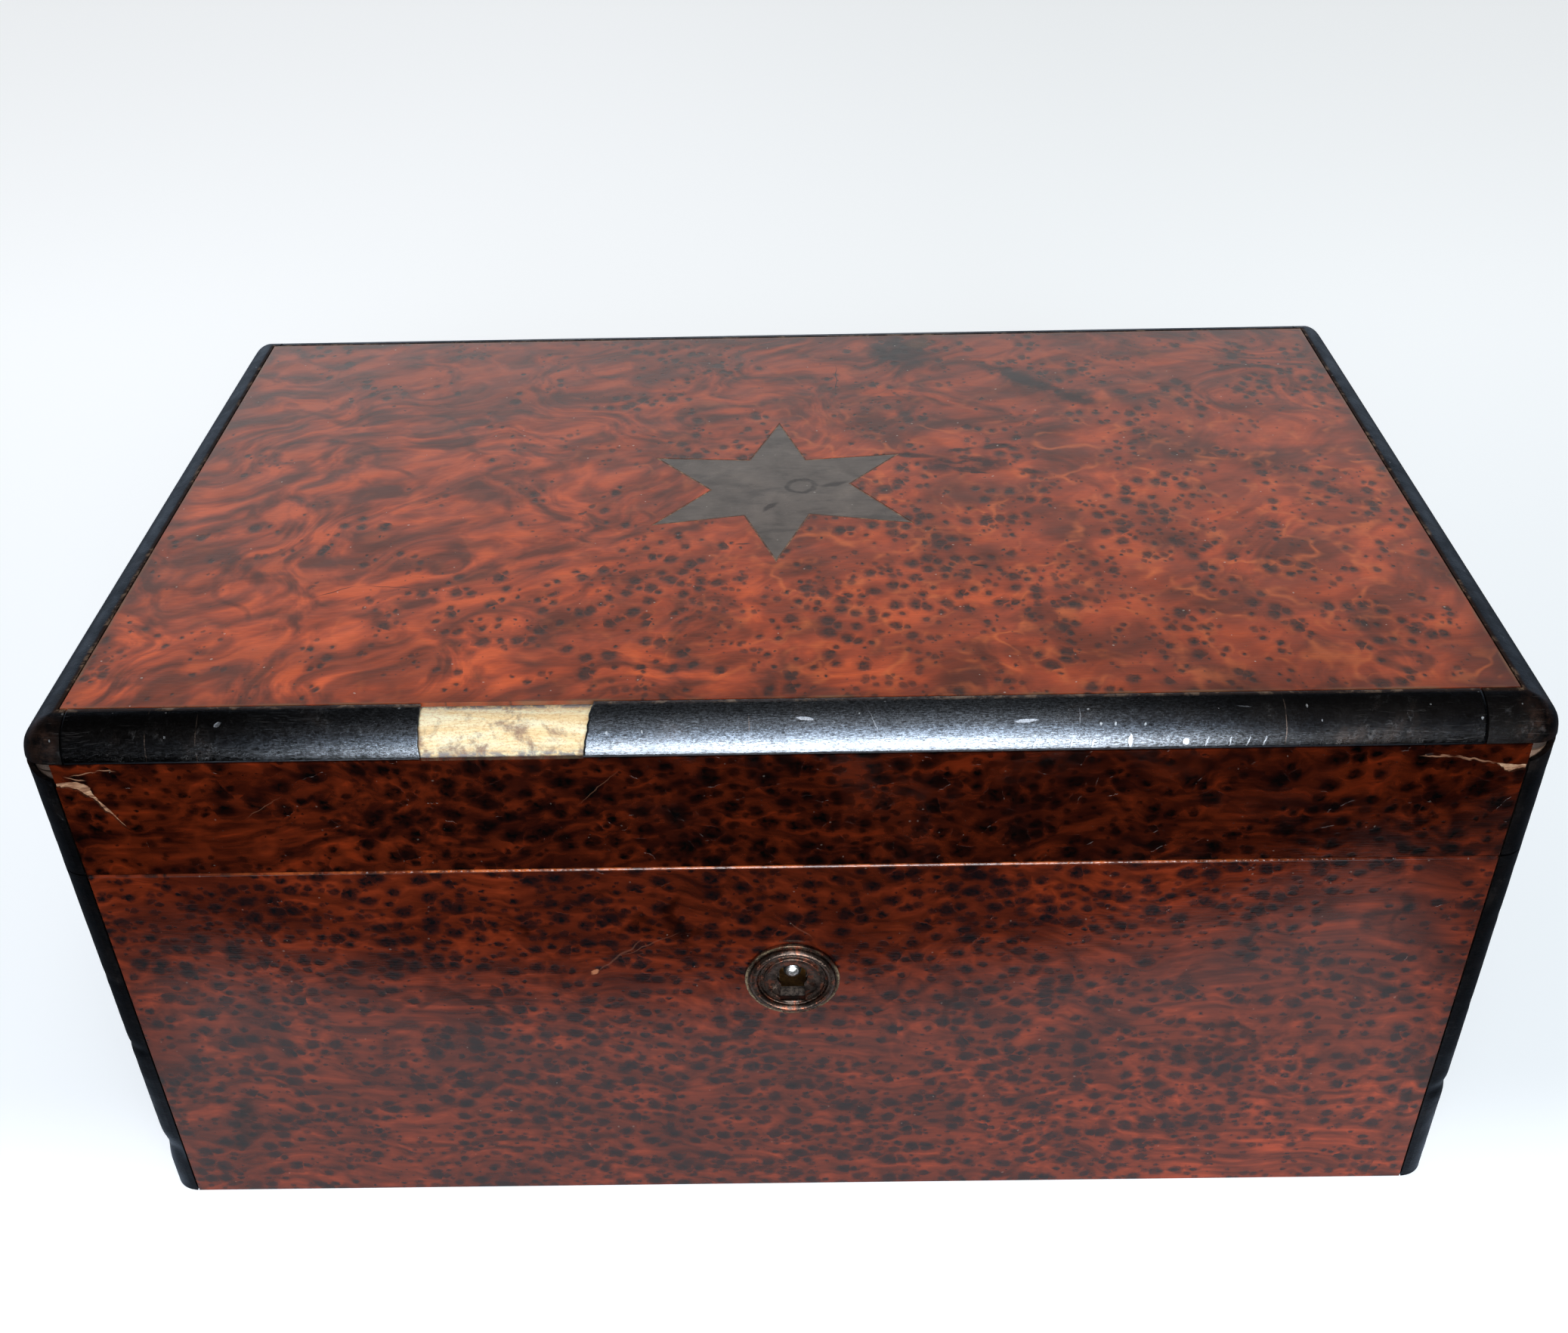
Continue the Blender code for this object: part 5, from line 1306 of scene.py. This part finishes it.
# %% The tree of the bent strip
bend = ShapeRecipe("bent_strip")
start_wall, start_top = bend.input("Start at Wall", 0.0), bend.input("Start at Top", 0.0)
end_wall, end_top = bend.input("End at Wall", 0.1), bend.input("End at Top", 0.1)
arc_y, arc_z = bend.input("Arc Centre Y", 0.0), bend.input("Arc Centre Z", 0.0)
arc_radius = bend.input("Radius", 0.01)
ragged_start, ragged_end = bend.input("Ragged Start", 0.0), bend.input("Ragged End", 0.0)
seed = bend.input("Seed", 0, "NodeSocketInt")
dye = bend.input("Finish", None, "NodeSocketMaterial")
ALONG, ROUND = 401, 25      # points along the strip and round its bend
grid = bend.get("GeometryNodeMeshGrid", {0: 1.0, 1: 1.0, 2: ALONG, 3: ROUND})
u, v = bend.parts(bend.get("GeometryNodeInputPosition", {}))[:2]
u, v = bend.plus(u, 0.5), bend.plus(v, 0.5)
rough_place = bend.whole(bend.times(v, 6.0), seed, bend.step(u, 0.0, 1.0, 0.0, 9.0))
rough = bend.minus(bend.noise(rough_place, 1.0, detail=4, roughness=0.7), 0.5)
first = bend.plus(bend.blend(v, start_wall, start_top), bend.times(rough, ragged_start))
last = bend.plus(bend.blend(v, end_wall, end_top), bend.times(rough, ragged_end))
turn = bend.times(v, math.pi / 2)
x = bend.blend(u, first, last)
y = bend.minus(arc_y, bend.times(bend.math("COSINE", turn), arc_radius))
z = bend.plus(arc_z, bend.times(bend.math("SINE", turn), arc_radius))
sheet = bend.get("GeometryNodeSetPosition", {"Geometry": grid, "Position": bend.whole(x, y, z)})
sheet = bend.get("GeometryNodeSetShadeSmooth", {"Geometry": sheet})
sheet = bend.get("GeometryNodeRealizeInstances", {0: sheet})
bend.output(bend.get("GeometryNodeSetMaterial", {"Geometry": sheet, "Material": dye}))
print("the strip's tree has", len(bend.tree.nodes), "nodes")


# %% The two lengths of front edging
def front_edging(node, start, end, ragged_start=0.0, ragged_end=0.0, seed=0):
    """start and end are places along the box, at the wall and at the top."""
    piece = add_piece("finished_" + node, bmesh.new(), edging, "lid", [node])
    bend.use(piece, {
        "Start at Wall": start[0], "Start at Top": start[1], "End at Wall": end[0], "End at Top": end[1],
        "Arc Centre Y": FRONT + EDGE_RADIUS, "Arc Centre Z": EDGE_FOOT, "Radius": EDGE_RADIUS,
        "Ragged Start": ragged_start, "Ragged End": ragged_end, "Seed": seed, "Finish": edging.material,
    })
    wall = piece.modifiers.new("wall", "SOLIDIFY")
    wall.thickness = VENEER
    wall.offset = -1
    baked(piece)
    print(node, "has", len(piece.data.polygons), "faces")
    return piece


left_strip, right_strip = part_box("edge_band_front_left"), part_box("edge_band_front_right")
SLANT = 0.0017          # how far the broken end leans
left_ends = (left_strip[0].x, left_strip[0].x), (left_strip[1].x, left_strip[1].x)
right_ends = (right_strip[0].x, right_strip[0].x + SLANT), (right_strip[1].x, right_strip[1].x)
front_edging("edge_band_front_left", *left_ends, ragged_end=0.0006, seed=3)
front_edging("edge_band_front_right", *right_ends, ragged_start=0.0012, seed=7)

# %% [markdown]
# ## Velvet in the lid
# The lid is lined with a thin padded velvet panel, fullest in the middle and pulled in along
# its glued edge. It is a closed shell: a flat back and a crowned face with soft ripples.

# %% Velvet
VELVET_TONES = ((0.3, (0.075, 0.006, 0.014)), (0.55, (0.13, 0.012, 0.024)), (0.75, (0.20, 0.022, 0.040)))

velvet = Finish("wine_velvet", Roughness=0.95, Sheen_Weight=0.6, Sheen_Roughness=0.35)
pile = velvet.noise(velvet.place, 0.35, detail=2, roughness=0.7)
nap = velvet.noise(velvet.warped(velvet.place, 30, 25), 16, detail=4, roughness=0.6)
colour = velvet.ramp(nap, VELVET_TONES)
velvet.set("Base Color", velvet.shaded(colour, velvet.step(pile, 0.3, 0.7, 0.75, 1.2)))
velvet.set("Normal", velvet.relief(pile, 0.00015))
print("the velvet is a tree of", len(velvet.tree.nodes), "nodes")

# %% Padded lid lining
ACROSS, DEEP = 150, 90      # faces across the panel and from its front to its back
EDGE_THICK = 0.0007         # the panel at its glued edge
low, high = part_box("lid_lining")
FULLNESS = high.z - low.z - EDGE_THICK - 0.0001


def swell(s, t):
    """How far the velvet stands out, at a place that runs from -1 to 1 both ways."""
    crown = ((1 - abs(s) ** 14) * (1 - abs(t) ** 10)) ** 0.5
    ripple = 0.10 * math.sin(9 * s + 5 * t) * math.sin(7 * t - 3 * s)
    return crown * (0.86 + ripple)


def pad_sheet(pad, is_back):
    """One of the panel's two faces, as rows of vertices."""
    rows = []
    for i in range(DEEP + 1):
        row = []
        for j in range(ACROSS + 1):
            s, t = 2 * j / ACROSS - 1, 2 * i / DEEP - 1
            x = low.x + (high.x - low.x) * (s + 1) / 2
            y = low.y + (high.y - low.y) * (t + 1) / 2
            z = high.z if is_back else high.z - EDGE_THICK - FULLNESS * swell(s, t)
            row.append(pad.verts.new((x, y, z)))
        rows.append(row)
    for near, far in zip(rows, rows[1:]):
        for j in range(ACROSS):
            pad.faces.new((near[j], near[j + 1], far[j + 1], far[j]))
    return rows


pad = bmesh.new()
front_rows, back_rows = pad_sheet(pad, False), pad_sheet(pad, True)
border = [(0, j) for j in range(ACROSS)] + [(i, ACROSS) for i in range(DEEP)]
border += [(DEEP, j) for j in range(ACROSS, 0, -1)] + [(i, 0) for i in range(DEEP, 0, -1)]
for (i, j), (next_i, next_j) in zip(border, border[1:] + border[:1]):
    front_edge = front_rows[i][j], front_rows[next_i][next_j]
    pad.faces.new((*front_edge, back_rows[next_i][next_j], back_rows[i][j]))
bmesh.ops.recalc_face_normals(pad, faces=pad.faces)
print("velvet panel", round(MM * (high.x - low.x), 1), "by", round(MM * (high.y - low.y), 1), "mm")
lining = add_piece("velvet_lid_pad", pad, velvet, "lid", ["lid_lining"])

# %% [markdown]
# ## Screws
# Brass wood screws hold the hinges and the lock. One screw is a countersunk head with a slot
# and a short shank; Geometry Nodes put a copy at each point and turn each slot its own way, as
# a joiner leaves them. The points carry the direction that the head faces.

# %% Screw tree
screws = ShapeRecipe("wood_screws")
head_radius, head_depth = screws.input("Head Radius", 0.0018), screws.input("Head Depth", 0.0009)
shank_radius, shank_length = screws.input("Shank Radius", 0.0008), screws.input("Shank Length", 0.004)
slot_width = screws.input("Slot Width", 0.0004)
turn_seed = screws.input("Seed", 0, "NodeSocketInt")
metal = screws.input("Metal", None, "NodeSocketMaterial")


def raised(geometry, length, share):
    """The geometry moved up by a share of a length."""
    moved = {"Geometry": geometry, "Translation": screws.whole(0, 0, screws.times(length, share))}
    return screws.get("GeometryNodeTransform", moved)


ROUND_SIDES = 32
head = screws.get("GeometryNodeMeshCone", {
    "Vertices": ROUND_SIDES, "Radius Top": head_radius, "Radius Bottom": screws.times(shank_radius, 1.2),
    "Depth": head_depth,
})
shank = {"Vertices": ROUND_SIDES, "Radius": shank_radius, "Depth": shank_length}
shank = raised(screws.get("GeometryNodeMeshCylinder", shank), shank_length, -0.499)
slot_size = screws.whole(screws.times(head_radius, 2.4), slot_width, head_depth)
slot = raised(screws.get("GeometryNodeMeshCube", {"Size": slot_size}), head_depth, 1.05)
joined = screws.node("GeometryNodeMeshBoolean", {}, operation="UNION")
for part in (head, shank):
    screws.tree.links.new(part, joined.inputs["Mesh 2"])
slotted = screws.node("GeometryNodeMeshBoolean", {"Mesh 1": joined.outputs[0]}, operation="DIFFERENCE")
screws.tree.links.new(slot, slotted.inputs["Mesh 2"])
facing = screws.get("GeometryNodeInputNamedAttribute", {"Name": "facing"}, data_type="FLOAT_VECTOR")
upright = screws.get("FunctionNodeAlignRotationToVector", {"Vector": facing}, axis="Z")
full_turn = {2: 0.0, 3: 6.28, "Seed": turn_seed}
chance = screws.get("FunctionNodeRandomValue", full_turn, 1, data_type="FLOAT")
twist = screws.get("FunctionNodeAxisAngleToRotation", {"Axis": (0, 0, 1), "Angle": chance})
turned = screws.get("FunctionNodeRotateRotation", {0: upright, 1: twist}, rotation_space="LOCAL")
points = {"Points": screws.entry.outputs[0], "Instance": slotted.outputs[0], "Rotation": turned}
real = screws.get("GeometryNodeRealizeInstances", {0: screws.get("GeometryNodeInstanceOnPoints", points)})
screws.output(screws.get("GeometryNodeSetMaterial", {"Geometry": real, "Material": metal}))
print("the screws' tree has", len(screws.tree.nodes), "nodes")


# %% Screws of the case and of the lid
SCREW_SPACING = 0.018               # between the two screws of a hinge leaf
SCREW_ROW = 0.0703                  # how far back they stand
PLATE_SCREWS = (0.0245, -0.0713)    # the screws of the lock, to each side and at the front
HEAD_DEPTH = 0.0009
FLUSH = 0.00005                     # how far the heads lie below the rim
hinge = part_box("hinge_leaf_case_left")
HINGE_MIDDLE = -(hinge[0].x + hinge[1].x) / 2


def screw_group(name, body, height, up):
    """Screws whose heads lie flush with a rim at this height and face up or down."""
    places = []
    for hand in (-1, 1):
        for end in (-1, 1):
            places.append((hand * HINGE_MIDDLE + end * SCREW_SPACING / 2, SCREW_ROW))
        places.append((hand * PLATE_SCREWS[0], PLATE_SCREWS[1]))
    middle = height - up * (FLUSH + HEAD_DEPTH / 2)
    points = bpy.data.meshes.new(name)
    points.from_pydata([(x, y, middle) for x, y in places], [], [])
    directions = points.attributes.new("facing", "FLOAT_VECTOR", "POINT")
    for item in directions.data:
        item.vector = (0, 0, up)
    piece = bpy.data.objects.new(name, points)
    bpy.context.scene.collection.objects.link(piece)
    screws.use(piece, {"Seed": 4 + up, "Metal": brass.material, "Head Depth": HEAD_DEPTH})
    baked(piece)
    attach(piece, body)
    print(name, len(places), "screws,", len(piece.data.polygons), "faces")
    return piece


screw_group("case_screws", "case", RIM, 1)
screw_group("lid_screws", "lid", LID_FOOT, -1)
